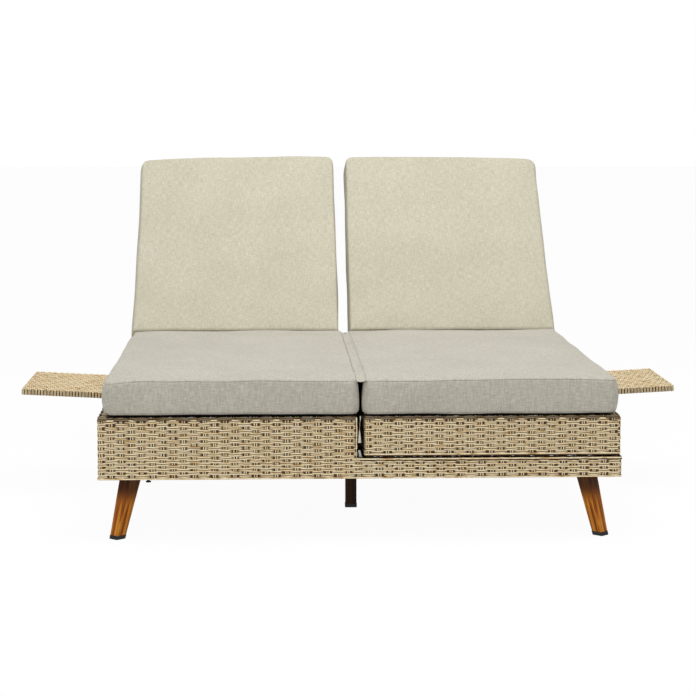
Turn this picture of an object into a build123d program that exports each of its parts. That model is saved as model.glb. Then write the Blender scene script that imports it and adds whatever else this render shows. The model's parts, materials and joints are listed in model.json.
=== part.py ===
# Double chaise lounger: a woven base on splayed legs that carries two reclining places.
# The left place is built into the base. The right place is a separate frame that lifts off.
# Frame: X to the right, Y to the rear, Z up. The origin is on the floor, under the middle.
# Every size is in millimetres.

import os
from dataclasses import dataclass
from math import cos, radians, sin, tan

from build123d import *

# Base
base_length = 2000.0
base_width = 1400.0
leg_height = 167.0  # floor to the underside of the woven base
apron_height = 166.0
low_rail_height = 55.0  # the part of the base that runs under the right place
module_gap = 4.0  # height of the pads between the low rail and the right place
middle_gap = 17.0  # slot between the left block and the right place
module_side_inset = 3.5
module_front_inset = 1.0

# Frame tubes and woven skins
tube_width = 22.0
tube_height = 20.0
tube_wall = 1.5
module_tube_height = 16.0
beam_width = 40.0  # centre beam under the slot
weave_thickness = 4.0
rim_thickness = 3.0
deck_thickness = 3.0
deck_margin = 4.0  # play between the decks or backs and the frame round them
soft_clearance = 0.3
overrun = 20.0  # how far a cutting shape runs past what it cuts

# Recline
hinge_below_rim = 13.0
rest_recline_angle = 48.0  # degrees above flat, as it stands
most_recline_angle = 58.0
back_length = 775.0  # from the hinge to the end of the back cushion
back_panel_thickness = 3.0
hinge_pin_radius = 4.0
hinge_pin_clearance = 0.06
bracket_thickness = 4.0
bracket_side_play = 0.5
hinge_tube_play = 1.0  # between the round ends of the back's tubes and the tube ahead of them
pin_head_length = 3.0

# Cushions
cushion_thickness = 100.0
cushion_crown = 5.0
cushion_end_crown_share = 0.4
cushion_bulge = 6.0
cushion_draw_in = 4.0
cushion_end_round = 12.0
cushion_front_inset = 2.0
seat_cushion_side_inset = 14.0  # from the side of the base to the outer seam
back_cushion_side_inset = 16.0
seat_cushion_gap = 3.0  # between the two seat cushions, bulge to bulge
back_cushion_gap = 22.0
mitre_clearance = 0.4
cushion_body_shares = (0.0, 0.25, 0.5, 0.75, 1.0)
cushion_end_steps = 3

# Strip that joins the seat cushions
strip_width = 22.0
strip_thickness = 1.5
strip_front_margin = 14.0
strip_rear_margin = 95.0

# Prop stays and their racks
stay_flat_margin = 108.0  # from the foot bar to the end of the back, with the back flat
stay_rest_angle = 49.75  # degrees below level, as it stands
stay_turn_share = 1.84  # turn of the stay on the back for each turn of the back
stay_side_gap = 58.75  # from the back's side tubes to the middle of a stay arm
stay_arm_thickness = 8.0
stay_arm_height = 14.0
stay_eye_radius = 10.0
stay_pin_radius = 4.0
stay_bar_radius = 6.0
stay_bar_overhang = 22.0
lug_thickness = 5.0
lug_play = 0.4  # between a lug and the woven panel over it
lug_tube_gap = 14.0  # from the lugs' tube to the stay pin
rack_thickness = 10.0
rack_height = 9.8  # over the tubes under it, in the right place
rack_clearance = 1.2  # under the foot bar, so that the stay swings freely
rack_margin = 26.0
rack_notch_depth = 3.0
rack_notch_play = 0.8
recline_stop_angles = (0.0, 15.0, 30.0, 48.0, 58.0)  # degrees above flat

# Back frame
back_lower_tube_from_hinge = 48.0
back_upper_tube_from_stay = 190.0

# Side trays
tray_before_hinge = 135.0  # from the tray's rear edge to the hinge
tray_depth = 400.0  # along the side of the lounger
tray_width = 310.0
tray_reach = 277.0  # how far it stands out, as drawn
tray_travel = 260.0
tray_rise = 3.0  # degrees, upwards to the outer edge
tray_thickness = 18.0
tray_weave_thickness = 4.0
tray_skirt = 3.0  # woven skin round the edges of the tray's frame
tray_corner_round = 8.0
tray_bar_width = 16.0
tray_runner_length = 420.0
tray_top_below_rim = 30.0
tray_play = 0.5
guide_thickness = 3.0
guide_flange = 12.0
guide_inner_margin = 8.0

# Legs
leg_top_side = 43.0
leg_foot_side = 31.5
leg_inset = 85.0  # leg centre from the side and from the end, at the top
leg_edge_round = 3.0
leg_splay = 12.4  # degrees, outwards in the front view and in the side view
leg_plate_side = 128.0
leg_plate_thickness = 3.0
foot_cap_height = 10.0
foot_cap_wall = 1.0
centre_leg_side = 32.0
centre_leg_offset = 8.0  # from the middle, towards the left place
centre_leg_from_end = 466.0
bolt_offset = 40.0
bolt_head_radius = 6.0
bolt_head_height = 6.0

# Small pieces between the base and the right place
pad_radius = 8.0
pad_inset = 160.0
tab_width = 12.0
tab_height = 20.0
tab_thickness = 2.0
tab_lean = 12.0
tab_foot_length = 14.0
tab_from_end = 12.0

# Places along the length, as shares of what they stand in
seat_post_share = 0.38  # of the seat
back_post_share = 0.4  # of the back
front_deck_shares = (0.18, 0.37)  # of the seat, for the cross tubes ahead of the tray
rack_tube_share = 0.15  # of the rack's length, from each end

# Worked out from the sizes above
half_width = base_width / 2
front = -base_length / 2
rear = base_length / 2
rim_top = leg_height + apron_height
tube_top = rim_top - rim_thickness
low_rail_top = leg_height + low_rail_height
module_bottom = low_rail_top + module_gap
frame_bottom = leg_height + leg_plate_thickness
low_tube_height = low_rail_top - rim_thickness - frame_bottom
wall = weave_thickness + tube_width
seat_cushion_outer = half_width - seat_cushion_side_inset
back_cushion_outer = half_width - back_cushion_side_inset
back_side_inset = wall + deck_margin + tube_width
stay_spread = half_width - middle_gap / 2 - 2 * (back_side_inset + stay_side_gap)

hinge_y = rear - back_length
seat_length = hinge_y - front
hinge_z = rim_top - hinge_below_rim
back_top_face = hinge_z + hinge_below_rim
back_tube_top = back_top_face - back_panel_thickness
cushion_bottom = rim_top + soft_clearance
mitre = most_recline_angle / 2
eye_radius = tube_height / 2
hinge_tube_rear = hinge_y - eye_radius - hinge_tube_play

stay_rest_turn = rest_recline_angle + stay_rest_angle  # of the stay against the back
stay_flat_angle = stay_rest_turn - stay_turn_share * rest_recline_angle
rack_top = module_bottom + module_tube_height + rack_height
stay_foot_drop = hinge_z - rack_top - rack_clearance - stay_bar_radius
# The stay pin's distance from the hinge puts the foot bar on the rack as the back stands,
# and inside the end of the back when it lies flat
stay_pin_rise_share = sin(radians(rest_recline_angle))
stay_reach_share = cos(radians(stay_flat_angle)) / sin(radians(stay_rest_angle))
stay_flat_reach = back_length - stay_flat_margin
stay_pin_distance = stay_flat_reach - stay_foot_drop * stay_reach_share
stay_pin_distance /= 1 + stay_pin_rise_share * stay_reach_share
stay_pin_rise = stay_pin_distance * stay_pin_rise_share
stay_length = (stay_pin_rise + stay_foot_drop) / sin(radians(stay_rest_angle))


def stay_foot(recline):
    """Place of the foot bar, from the front and up, for a recline in degrees above flat."""
    down = radians(stay_rest_turn + stay_turn_share * (recline - rest_recline_angle) - recline)
    up = radians(recline)
    y = hinge_y + stay_pin_distance * cos(up) + stay_length * cos(down)
    z = hinge_z + stay_pin_distance * sin(up) - stay_length * sin(down)
    return y, z


stay_foot_y, stay_foot_z = stay_foot(rest_recline_angle)
stay_pin_y = hinge_y + stay_pin_distance * cos(radians(rest_recline_angle))
stay_pin_z = hinge_z + stay_pin_rise

rack_front = stay_foot(most_recline_angle)[0] - rack_margin
rack_rear = stay_foot(0)[0] + rack_margin

tray_rear = hinge_y - tray_before_hinge
tray_front = tray_rear - tray_depth
tray_top = rim_top - tray_top_below_rim
tray_drop = weave_thickness * tan(radians(tray_rise))
slot_top = tray_top + tray_play
slot_bottom = tray_top - tray_thickness / cos(radians(tray_rise)) - tray_drop - tray_play


@dataclass
class Place:
    """One of the two reclining places. Distances are from the middle of the lounger."""

    name: str
    side: int
    inner: float
    outer: float
    bottom: float
    front: float
    rear: float

    def x(self, distance):
        return self.side * distance

    @property
    def centre(self):
        return (self.inner + self.outer) / 2


left = Place("left", -1, middle_gap / 2, half_width, leg_height, front, rear)
right = Place(
    "right",
    1,
    middle_gap / 2,
    half_width - module_side_inset,
    module_bottom,
    front + module_front_inset,
    rear - module_side_inset,
)
places = (left, right)

nodes = {}


def keep(name, *solids):
    """Store a node: one solid, or a group of alike solids."""
    nodes[name] = list(solids)


def block(xs, ys, zs):
    """A box between two X, two Y and two Z limits, given in any order."""
    lengths = [abs(b - a) for a, b in (xs, ys, zs)]
    middle = [(a + b) / 2 for a, b in (xs, ys, zs)]
    return Pos(*middle) * Box(*lengths)


def tube(xs, ys, zs, axis):
    """A hollow square tube that fills the limits and is open at both ends along axis."""
    limits = [tuple(sorted(pair)) for pair in (xs, ys, zs)]
    bore = []
    for index, (low, high) in enumerate(limits):
        step = -overrun if index == "XYZ".index(axis) else tube_wall
        bore.append((low + step, high - step))
    return block(*limits) - block(*bore)


def rod(xs, y, z, radius):
    """A round bar along X."""
    length = abs(xs[1] - xs[0])
    return Pos((xs[0] + xs[1]) / 2, y, z) * Rot(0, 90, 0) * Cylinder(radius, length)


def prism(points, xs):
    """An outline of (y, z) points, carried along X."""
    outline = [(min(xs), y, z) for y, z in points]
    face = make_face(Polyline(*outline, close=True))
    return extrude(face, amount=abs(xs[1] - xs[0]), dir=(1, 0, 0))


def turned(shape, y, z, degrees):
    """A shape turned about an axis along X through (y, z)."""
    return Pos(0, y, z) * Rot(degrees, 0, 0) * Pos(0, -y, -z) * shape


def reclined(shape):
    """A piece of a back, modelled lying flat, raised to the angle it stands at."""
    return turned(shape, hinge_y, hinge_z, rest_recline_angle)


def tilted(shape, place):
    """A piece of a tray, modelled level, raised towards its outer edge."""
    x = place.x(place.outer)
    return Pos(x, 0, tray_top) * Rot(0, -place.side * tray_rise, 0) * Pos(-x, 0, -tray_top) * shape


def eyed_plate(xs, eye, tail, radius):
    """An upright plate with a round end about eye (y, z) and a square end at y = tail."""
    y, z = eye
    return block(xs, (y, tail), (z - radius, z + radius)) + rod(xs, y, z, radius)


# Base frame


def make_base_frame():
    outer = half_width - weave_thickness
    ends = (front + weave_thickness, rear - weave_thickness)
    low_zs = (frame_bottom, frame_bottom + low_tube_height)
    zs = (frame_bottom, frame_bottom + tube_height)
    block_inner = left.inner + weave_thickness
    beam = (-left.inner, beam_width - left.inner)
    keep(
        "base_long_tubes",
        tube((-outer, tube_width - outer), ends, zs, "Y"),
        tube((-block_inner - tube_width, -block_inner), ends, zs, "Y"),
        tube(beam, ends, low_zs, "Y"),
        tube((outer - tube_width, outer), ends, low_zs, "Y"),
    )
    left_run = (tube_width - outer, -block_inner - tube_width)
    right_run = (beam[1], outer - tube_width)
    rack_length = rack_rear - rack_front
    middles = [
        front + centre_leg_from_end,
        rear - centre_leg_from_end,
    ]
    rack_tubes = [
        rack_front + rack_length * rack_tube_share,
        rack_rear - rack_length * rack_tube_share,
    ]
    crossings = [ends[0] + tube_width / 2, ends[1] - tube_width / 2]
    cross = []
    for y in crossings + middles[:1] + rack_tubes:
        cross.append(tube(left_run, (y - tube_width / 2, y + tube_width / 2), zs, "X"))
    for y in crossings + middles:
        cross.append(tube(right_run, (y - tube_width / 2, y + tube_width / 2), low_zs, "X"))
    keep("base_cross_tubes", *cross)


def make_low_rail_weave():
    zs = (leg_height, low_rail_top)
    cap = (low_rail_top - rim_thickness, low_rail_top)
    inner = -left.inner
    skins = []
    for y, inward in ((front, 1), (rear, -1)):
        face = block((inner, half_width), (y, y + inward * weave_thickness), zs)
        skins.append(face + block((inner, half_width), (y, y + inward * wall), cap))
    ys = (front + weave_thickness, rear - weave_thickness)
    between = (front + wall, rear - wall)
    side_face = block((half_width - weave_thickness, half_width), ys, zs)
    skins.append(side_face + block((half_width - wall, half_width), between, cap))
    skins.append(block((inner, beam_width + inner), between, cap))
    keep("low_rail_weave", *skins)


# Legs


def soften(post, radius):
    """A post with its four long arrises rounded."""
    height = post.bounding_box().size.Z
    arrises = [edge for edge in post.edges() if edge.bounding_box().size.Z > height / 2]
    return fillet(arrises, radius)


def splayed_square(side, x, y, z, x_out, y_out):
    """A square section turned 45 degrees, moved outwards as it goes down from the leg's top."""
    shift = (leg_height - z) * tan(radians(leg_splay))
    return Pos(x + x_out * shift, y + y_out * shift, z) * Rot(0, 0, 45) * Rectangle(side, side)


def make_legs():
    caps = []
    plates = []
    bolts = []
    slope = (leg_top_side - leg_foot_side) / (leg_height - foot_cap_height)
    cap_side = leg_foot_side + 2 * foot_cap_wall
    for y_name, y_out in (("front", -1), ("rear", 1)):
        for x_name, x_out in (("left", -1), ("right", 1)):
            x = x_out * (half_width - leg_inset)
            y = y_out * (rear - leg_inset)
            top = splayed_square(leg_top_side, x, y, leg_height, x_out, y_out)
            foot = splayed_square(leg_foot_side, x, y, foot_cap_height, x_out, y_out)
            keep(f"{y_name}_{x_name}_leg", soften(loft([foot, top]), leg_edge_round))
            base = splayed_square(cap_side - slope * foot_cap_height, x, y, 0, x_out, y_out)
            lid = splayed_square(cap_side, x, y, foot_cap_height, x_out, y_out)
            caps.append(soften(loft([base, lid]), leg_edge_round + foot_cap_wall))
            plates.append(leg_plate(x_out, y_out))
            bolts.extend(leg_bolts(x, y))
    centre_legs = []
    half_side = centre_leg_side / 2
    leg_xs = (-centre_leg_offset - half_side, half_side - centre_leg_offset)
    beam = (-left.inner - wall, beam_width - left.inner)
    for y in (front + centre_leg_from_end, rear - centre_leg_from_end):
        ys = (y - half_side, y + half_side)
        leg = block(leg_xs, ys, (foot_cap_height, leg_height))
        centre_legs.append(soften(leg, leg_edge_round))
        cap_xs = (leg_xs[0] - foot_cap_wall, leg_xs[1] + foot_cap_wall)
        cap_ys = (ys[0] - foot_cap_wall, ys[1] + foot_cap_wall)
        cap = block(cap_xs, cap_ys, (0, foot_cap_height))
        caps.append(soften(cap, leg_edge_round + foot_cap_wall))
        plates.append(block(beam, ys, (leg_height, frame_bottom)))
    keep("centre_legs", *centre_legs)
    keep("foot_caps", *caps)
    keep("leg_plates", *plates)
    keep("leg_bolts", *bolts)


def leg_plate(x_out, y_out):
    """Plate across a corner of the base frame, under its tubes, that carries one leg."""
    edge_x = x_out * (half_width - weave_thickness)
    edge_y = y_out * (rear - weave_thickness)
    xs = (edge_x, edge_x - x_out * leg_plate_side)
    ys = (edge_y, edge_y - y_out * leg_plate_side)
    return block(xs, ys, (leg_height, frame_bottom))


def leg_bolts(x, y):
    """Two bolt heads under a leg plate, one at each side of the leg."""
    zs = (leg_height - bolt_head_height, leg_height)
    middle = (zs[0] + zs[1]) / 2
    heads = []
    for sign in (1, -1):
        place = Pos(x + sign * bolt_offset, y, middle)
        heads.append(place * Cylinder(bolt_head_radius, bolt_head_height))
    return heads


# Small pieces between the base and the right place


def make_locating_pieces():
    pads = []
    to_middle = weave_thickness + tube_width / 2
    middle = low_rail_top + module_gap / 2
    for x in (right.inner + to_middle, right.outer - to_middle):
        for y in (front + pad_inset, 0, rear - pad_inset):
            pads.append(Pos(x, y, middle) * Cylinder(pad_radius, module_gap))
    keep("module_pads", *pads)
    tabs = []
    for y, inward in ((front + tab_from_end, 1), (rear - tab_from_end, -1)):
        ys = (y, y + inward * tab_foot_length)
        half = tab_width / 2
        foot = block((-half, half), ys, (low_rail_top, low_rail_top + tab_thickness))
        blade_zs = (low_rail_top, low_rail_top + tab_height)
        blade = block((-half / 2, half / 2), (y, y + inward * tab_thickness), blade_zs)
        blade = Pos(0, 0, low_rail_top) * Rot(0, -tab_lean, 0) * Pos(0, 0, -low_rail_top) * blade
        above = block((-tab_width, tab_width), ys, (low_rail_top, rim_top))
        tabs.append(foot + (blade & above))
    keep("locating_tabs", *tabs)


# Frame of one place


def make_place_frame(place):
    ends = (place.front + weave_thickness, place.rear - weave_thickness)
    inner = (place.inner + weave_thickness, place.inner + wall)
    outer = (place.outer - wall, place.outer - weave_thickness)
    span = (place.x(inner[1]), place.x(outer[0]))
    top = (tube_top - tube_height, tube_top)
    on_module = place is right
    bottom_top = place.bottom + module_tube_height if on_module else frame_bottom + tube_height
    bottom = (place.bottom, bottom_top)

    long_tubes = []
    for xs in (inner, outer):
        xs = tuple(place.x(distance) for distance in xs)
        long_tubes.append(tube(xs, ends, top, "Y"))
        if on_module:
            long_tubes.append(tube(xs, ends, bottom, "Y"))
    keep(f"{place.name}_long_tubes", *long_tubes)

    half_tube = tube_width / 2
    end_ys = (ends[0] + half_tube, ends[1] - half_tube)
    tray_ys = (tray_front - play_to_web(), tray_rear + play_to_web())
    deck_ys = [place.front + seat_length * share for share in front_deck_shares]
    cross = [tube(span, (y - half_tube, y + half_tube), top, "X") for y in end_ys]
    for y in deck_ys + list(tray_ys) + [hinge_tube_rear - half_tube]:
        cross.append(tube(span, (y - half_tube, y + half_tube), top, "X"))
    if on_module:
        rack_length = rack_rear - rack_front
        rack_ys = (
            rack_front + rack_length * rack_tube_share,
            rack_rear - rack_length * rack_tube_share,
        )
        for y in end_ys + rack_ys:
            cross.append(tube(span, (y - half_tube, y + half_tube), bottom, "X"))
    keep(f"{place.name}_cross_tubes", *cross)

    posts = []
    post_zs = (bottom_top, top[0])
    post_ys = list(end_ys) + [front + seat_length * seat_post_share]
    post_ys += [hinge_tube_rear - half_tube, hinge_y + back_length * back_post_share]
    for xs in (inner, outer):
        xs = tuple(place.x(distance) for distance in xs)
        for y in post_ys:
            posts.append(tube(xs, (y - half_tube, y + half_tube), post_zs, "Z"))
    keep(f"{place.name}_posts", *posts)


def play_to_web():
    """From the edge of a tray to the middle of the guide's web beside it."""
    return tray_play + guide_thickness / 2


# Woven skins of one place


def make_place_weave(place):
    zs = (place.bottom, rim_top)
    cap = (tube_top, rim_top)
    xs = (place.x(place.inner), place.x(place.outer))
    for name, y, inward in (("front", place.front, 1), ("rear", place.rear, -1)):
        face = block(xs, (y, y + inward * weave_thickness), zs)
        skin = face + block(xs, (y, y + inward * wall), cap)
        keep(f"{place.name}_{name}_weave", skin)

    ys = (place.front + weave_thickness, place.rear - weave_thickness)
    between = (place.front + wall, place.rear - wall)
    inner_zs = (max(place.bottom, frame_bottom), tube_top)
    inner_face = block((xs[0], place.x(place.inner + weave_thickness)), ys, inner_zs)
    inner_cap = block((xs[0], place.x(place.inner + wall)), between, cap)
    keep(f"{place.name}_inner_weave", inner_face + inner_cap)

    face_xs = (place.x(place.outer - weave_thickness), xs[1])
    over_slot = block(face_xs, ys, (slot_top, tube_top))
    rim = block((place.x(place.outer - wall), xs[1]), between, cap)
    ahead = block(face_xs, (ys[0], tray_front - tray_play), (slot_bottom, slot_top))
    behind = block(face_xs, (tray_rear + tray_play, ys[1]), (slot_bottom, slot_top))
    under_slot = block(face_xs, ys, (place.bottom, slot_bottom))
    keep(f"{place.name}_side_weave", over_slot + rim, ahead, behind, under_slot)


def make_deck(place):
    xs = (place.x(place.inner + wall + deck_margin), place.x(place.outer - wall - deck_margin))
    ys = (place.front + wall + deck_margin, hinge_tube_rear)
    keep(f"{place.name}_seat_deck", block(xs, ys, (tube_top, tube_top + deck_thickness)))


# Cushions


def cushion_section(y, inner, outer, bottom, top, crown):
    """Section across a cushion: flat below, crowned above, with bulging sides."""
    middle = (bottom + top) / 2
    corners = [(inner, y, bottom), (outer, y, bottom), (outer, y, top), (inner, y, top)]
    bulge = cushion_bulge if outer > inner else -cushion_bulge
    edges = [
        Line(corners[0], corners[1]),
        ThreePointArc(corners[1], (outer + bulge, y, middle), corners[2]),
        ThreePointArc(corners[2], ((inner + outer) / 2, y, top + crown), corners[3]),
        ThreePointArc(corners[3], (inner - bulge, y, middle), corners[0]),
    ]
    return make_face(edges)


def cushion_form(place, inner, outer, round_end, plain_end):
    """A cushion lying flat. One end is rounded, the other is plain and gets cut later."""
    direction = 1 if plain_end > round_end else -1
    bottom = cushion_bottom
    top = cushion_bottom + cushion_thickness
    end_crown = cushion_crown * cushion_end_crown_share
    sections = []
    for step in range(cushion_end_steps):
        angle = radians(90 * step / cushion_end_steps)
        inset = cushion_end_round * (1 - sin(angle))
        y = round_end + direction * cushion_end_round * (1 - cos(angle))
        xs = (place.x(inner + inset), place.x(outer - inset))
        sections.append(cushion_section(y, *xs, bottom + inset, top - inset, end_crown))
    body_start = round_end + direction * cushion_end_round
    for share in cushion_body_shares:
        hollow = 4 * share * (1 - share)
        y = body_start + (plain_end - body_start) * share
        xs = (place.x(inner), place.x(outer - cushion_draw_in * hollow))
        crown = end_crown + (cushion_crown - end_crown) * hollow
        sections.append(cushion_section(y, *xs, bottom, top, crown))
    return loft(sections, ruled=True)


def mitre_wedge(towards):
    """What a cushion keeps on its side of a plane that leans away from the other cushion."""
    reach = base_length
    height = cushion_thickness + hinge_below_rim + overrun
    lean = height * tan(radians(mitre))
    edge = hinge_y + towards * mitre_clearance
    far = hinge_y + towards * reach
    points = [(edge, hinge_z), (far, hinge_z), (far, hinge_z + height)]
    points.append((edge + towards * lean, hinge_z + height))
    return prism(points, (-base_width, base_width))


def make_cushions(place):
    inner = seat_cushion_gap / 2 + cushion_bulge
    seat = cushion_form(place, inner, seat_cushion_outer, front + cushion_front_inset, hinge_y)
    keep(f"{place.name}_seat_cushion", seat & mitre_wedge(-1))

    inner = back_cushion_gap / 2 + cushion_bulge
    back = cushion_form(place, inner, back_cushion_outer, rear, hinge_y)
    keep(f"{place.name}_back_cushion", reclined(back & mitre_wedge(1)))


def make_joining_strip():
    """Fabric strip over the gap of the seat cushions, stitched to the right cushion."""
    bottom = cushion_bottom + cushion_thickness + 2 * soft_clearance
    ys = (front + strip_front_margin, hinge_y - strip_rear_margin)
    half = strip_width / 2
    keep("joining_strip", block((-half, half), ys, (bottom, bottom + strip_thickness)))


# Reclining backs


def make_back(place):
    inner = place.inner + wall + deck_margin
    outer = place.outer - wall - deck_margin
    ys = (hinge_y - eye_radius, place.rear - wall - deck_margin)
    zs = (back_tube_top - tube_height, back_tube_top)
    half_tube = tube_width / 2
    side_tubes = []
    for near, far in ((inner, inner + tube_width), (outer - tube_width, outer)):
        xs = (place.x(near), place.x(far))
        rounded = rod(xs, hinge_y, hinge_z, eye_radius) + block(xs, (hinge_y, ys[1]), zs)
        bore = rod(xs, hinge_y, hinge_z, hinge_pin_radius + hinge_pin_clearance)
        side_tubes.append(reclined((tube(xs, ys, zs, "Y") & rounded) - bore))
    keep(f"{place.name}_back_side_tubes", *side_tubes)

    span = (place.x(inner + tube_width), place.x(outer - tube_width))
    lug_tube = hinge_y + stay_pin_distance - lug_tube_gap - half_tube
    cross_ys = (
        hinge_y + back_lower_tube_from_hinge,
        lug_tube,
        hinge_y + stay_pin_distance + back_upper_tube_from_stay,
        ys[1] - half_tube,
    )
    cross = []
    for y in cross_ys:
        bar = tube(span, (y - half_tube, y + half_tube), zs, "X")
        cross.append(reclined(bar))
    keep(f"{place.name}_back_cross_tubes", *cross)

    panel_xs = (place.x(inner), place.x(outer))
    panel_ys = (hinge_y + back_lower_tube_from_hinge - half_tube, ys[1])
    panel = block(panel_xs, panel_ys, (back_tube_top, back_top_face))
    keep(f"{place.name}_back_panel", reclined(panel))

    lugs = []
    eye = (hinge_y + stay_pin_distance, hinge_z)
    for xs in lug_xs(place):
        lug = eyed_plate(xs, eye, lug_tube + half_tube, eye_radius - lug_play)
        bore = rod(xs, *eye, stay_pin_radius + hinge_pin_clearance)
        lugs.append(reclined(lug - bore))
    keep(f"{place.name}_stay_lugs", *lugs)


def stay_arm_xs(place):
    """X limits of the two stay arms."""
    limits = []
    for sign in (-1, 1):
        middle = place.centre + sign * stay_spread / 2
        half = stay_arm_thickness / 2
        limits.append((place.x(middle - half), place.x(middle + half)))
    return limits


def lug_xs(place):
    """X limits of the lugs, just inside the stay arms."""
    limits = []
    for sign in (-1, 1):
        face = place.centre + sign * (stay_spread - stay_arm_thickness - bracket_side_play) / 2
        limits.append((place.x(face), place.x(face - sign * lug_thickness)))
    return limits


def make_hinges(place):
    """Brackets on the hinge tube, inside the back's side tubes, and the pins that they hold."""
    brackets = []
    pins = []
    inner = place.inner + wall + deck_margin + tube_width + bracket_side_play
    outer = place.outer - wall - deck_margin - tube_width - bracket_side_play
    for face, inward in ((inner, 1), (outer, -1)):
        xs = (place.x(face), place.x(face + inward * bracket_thickness))
        plate = eyed_plate(xs, (hinge_y, hinge_z), hinge_tube_rear, eye_radius)
        bore = rod(xs, hinge_y, hinge_z, hinge_pin_radius + hinge_pin_clearance)
        brackets.append(plate - bore)
        head = face + inward * bracket_thickness
        pin_xs = (place.x(face - inward * (tube_width + bracket_side_play)), place.x(head))
        shank = rod(pin_xs, hinge_y, hinge_z, hinge_pin_radius)
        head_xs = (place.x(head), place.x(head + inward * pin_head_length))
        pins.append(shank + rod(head_xs, hinge_y, hinge_z, hinge_pin_radius + tube_wall))
    keep(f"{place.name}_hinge_brackets", *brackets)
    keep(f"{place.name}_hinge_pins", *pins)


# Prop stays and racks


def make_stay(place):
    pin = (stay_pin_y, stay_pin_z)
    foot_y = stay_pin_y + stay_length
    arms = []
    for xs in stay_arm_xs(place):
        half = stay_arm_height / 2
        bar = block(xs, (stay_pin_y, foot_y), (stay_pin_z - half, stay_pin_z + half))
        arm = bar + rod(xs, *pin, stay_eye_radius) + rod(xs, foot_y, stay_pin_z, stay_eye_radius)
        arm -= rod(xs, *pin, stay_pin_radius + hinge_pin_clearance)
        arm -= rod(xs, foot_y, stay_pin_z, stay_bar_radius + hinge_pin_clearance)
        arms.append(turned(arm, *pin, -stay_rest_angle))
    keep(f"{place.name}_stay_arms", *arms)

    pins = []
    for (near, far), (_, lug_end) in zip(stay_arm_xs(place), lug_xs(place)):
        outside = far if abs(far - lug_end) > abs(near - lug_end) else near
        away = 1 if outside > lug_end else -1
        shank = rod((lug_end, outside), *pin, stay_pin_radius)
        head_xs = (outside, outside + away * pin_head_length)
        pins.append(shank + rod(head_xs, *pin, stay_pin_radius + tube_wall))
    keep(f"{place.name}_stay_pins", *pins)

    reach = (stay_spread + stay_arm_thickness) / 2 + stay_bar_overhang
    bar_xs = (place.x(place.centre - reach), place.x(place.centre + reach))
    keep(f"{place.name}_stay_foot_bar", rod(bar_xs, stay_foot_y, stay_foot_z, stay_bar_radius))


def make_rack(place):
    """Two notched rails under the ends of the stay's foot bar."""
    bottom = place.bottom + module_tube_height if place is right else frame_bottom + tube_height
    rails = []
    for sign in (-1, 1):
        middle = place.centre + sign * (stay_spread + stay_arm_thickness + stay_bar_overhang) / 2
        half = rack_thickness / 2
        xs = (place.x(middle - half), place.x(middle + half))
        rail = block(xs, (rack_front, rack_rear), (bottom, rack_top))
        for recline in recline_stop_angles:
            notch_y = stay_foot(recline)[0]
            radius = stay_bar_radius + rack_notch_play
            notch_z = rack_top + radius - rack_notch_depth
            rail -= rod(xs, notch_y, notch_z, radius)
        rails.append(rail)
    keep(f"{place.name}_rack", *rails)


# Side trays


def make_tray(place):
    edge = place.outer + tray_reach
    frame_edge = edge - tray_skirt
    ys = (tray_front + tray_skirt, tray_rear - tray_skirt)
    zs = (tray_top - tray_thickness, tray_top - tray_weave_thickness)

    xs = (place.x(edge), place.x(edge - tray_width))
    skin = block(xs, (tray_front, tray_rear), (zs[0], tray_top))
    skin = fillet(outer_corners(skin, xs[0]), tray_corner_round)
    pocket_xs = (place.x(frame_edge), place.x(edge - tray_width - overrun))
    skin -= block(pocket_xs, ys, (zs[0] - overrun, zs[1]))
    keep(f"{place.name}_tray_weave", tilted(skin, place))

    runner_xs = (place.x(frame_edge), place.x(edge - tray_runner_length))
    bars = []
    for y, inward in ((ys[0], 1), (ys[1], -1)):
        bars.append(block(runner_xs, (y, y + inward * tray_bar_width), zs))
    between = (ys[0] + tray_bar_width, ys[1] - tray_bar_width)
    for distance, inward in ((frame_edge, -1), (edge - tray_width, 1)):
        bar_xs = (place.x(distance), place.x(distance + inward * tray_bar_width))
        bars.append(block(bar_xs, between, zs))
    keep(f"{place.name}_tray_frame", *[tilted(bar, place) for bar in bars])

    guides = [tray_guide(place, tray_front, 1), tray_guide(place, tray_rear, -1)]
    keep(f"{place.name}_tray_guides", *guides)


def outer_corners(skin, x):
    """The upright edges of a tray's skin at its outer side."""
    upright = [edge for edge in skin.edges() if edge.bounding_box().size.Z > tray_thickness / 2]
    return [edge for edge in upright if abs(edge.center().X - x) < tray_skirt]


def tray_guide(place, y, inward):
    """A channel that slopes with the tray and hangs from the deck tube above it."""
    inner_end = place.outer + tray_reach - tray_runner_length - tray_travel - guide_inner_margin
    xs = (place.x(inner_end), place.x(place.outer - wall))
    web_y = y - inward * tray_play
    web_ys = (web_y, web_y - inward * guide_thickness)
    flange_ys = (web_y, web_y + inward * guide_flange)
    gap_top = tray_top + tray_play
    gap_bottom = tray_top - tray_thickness - tray_play
    upper = block(xs, flange_ys, (gap_top, gap_top + guide_thickness))
    lower = block(xs, flange_ys, (gap_bottom - guide_thickness, gap_bottom))
    tall_web = block(xs, web_ys, (gap_bottom - guide_thickness, rim_top + overrun))
    channel = tilted(upper + lower + tall_web, place)
    near_ys = (y - overrun, y + overrun)
    return channel & block(xs, near_ys, (place.bottom, tube_top - tube_height))


def make_all():
    make_base_frame()
    make_low_rail_weave()
    make_legs()
    make_locating_pieces()
    make_joining_strip()
    for place in places:
        make_place_frame(place)
        make_place_weave(place)
        make_deck(place)
        make_cushions(place)
        make_back(place)
        make_hinges(place)
        make_stay(place)
        make_rack(place)
        make_tray(place)


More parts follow.
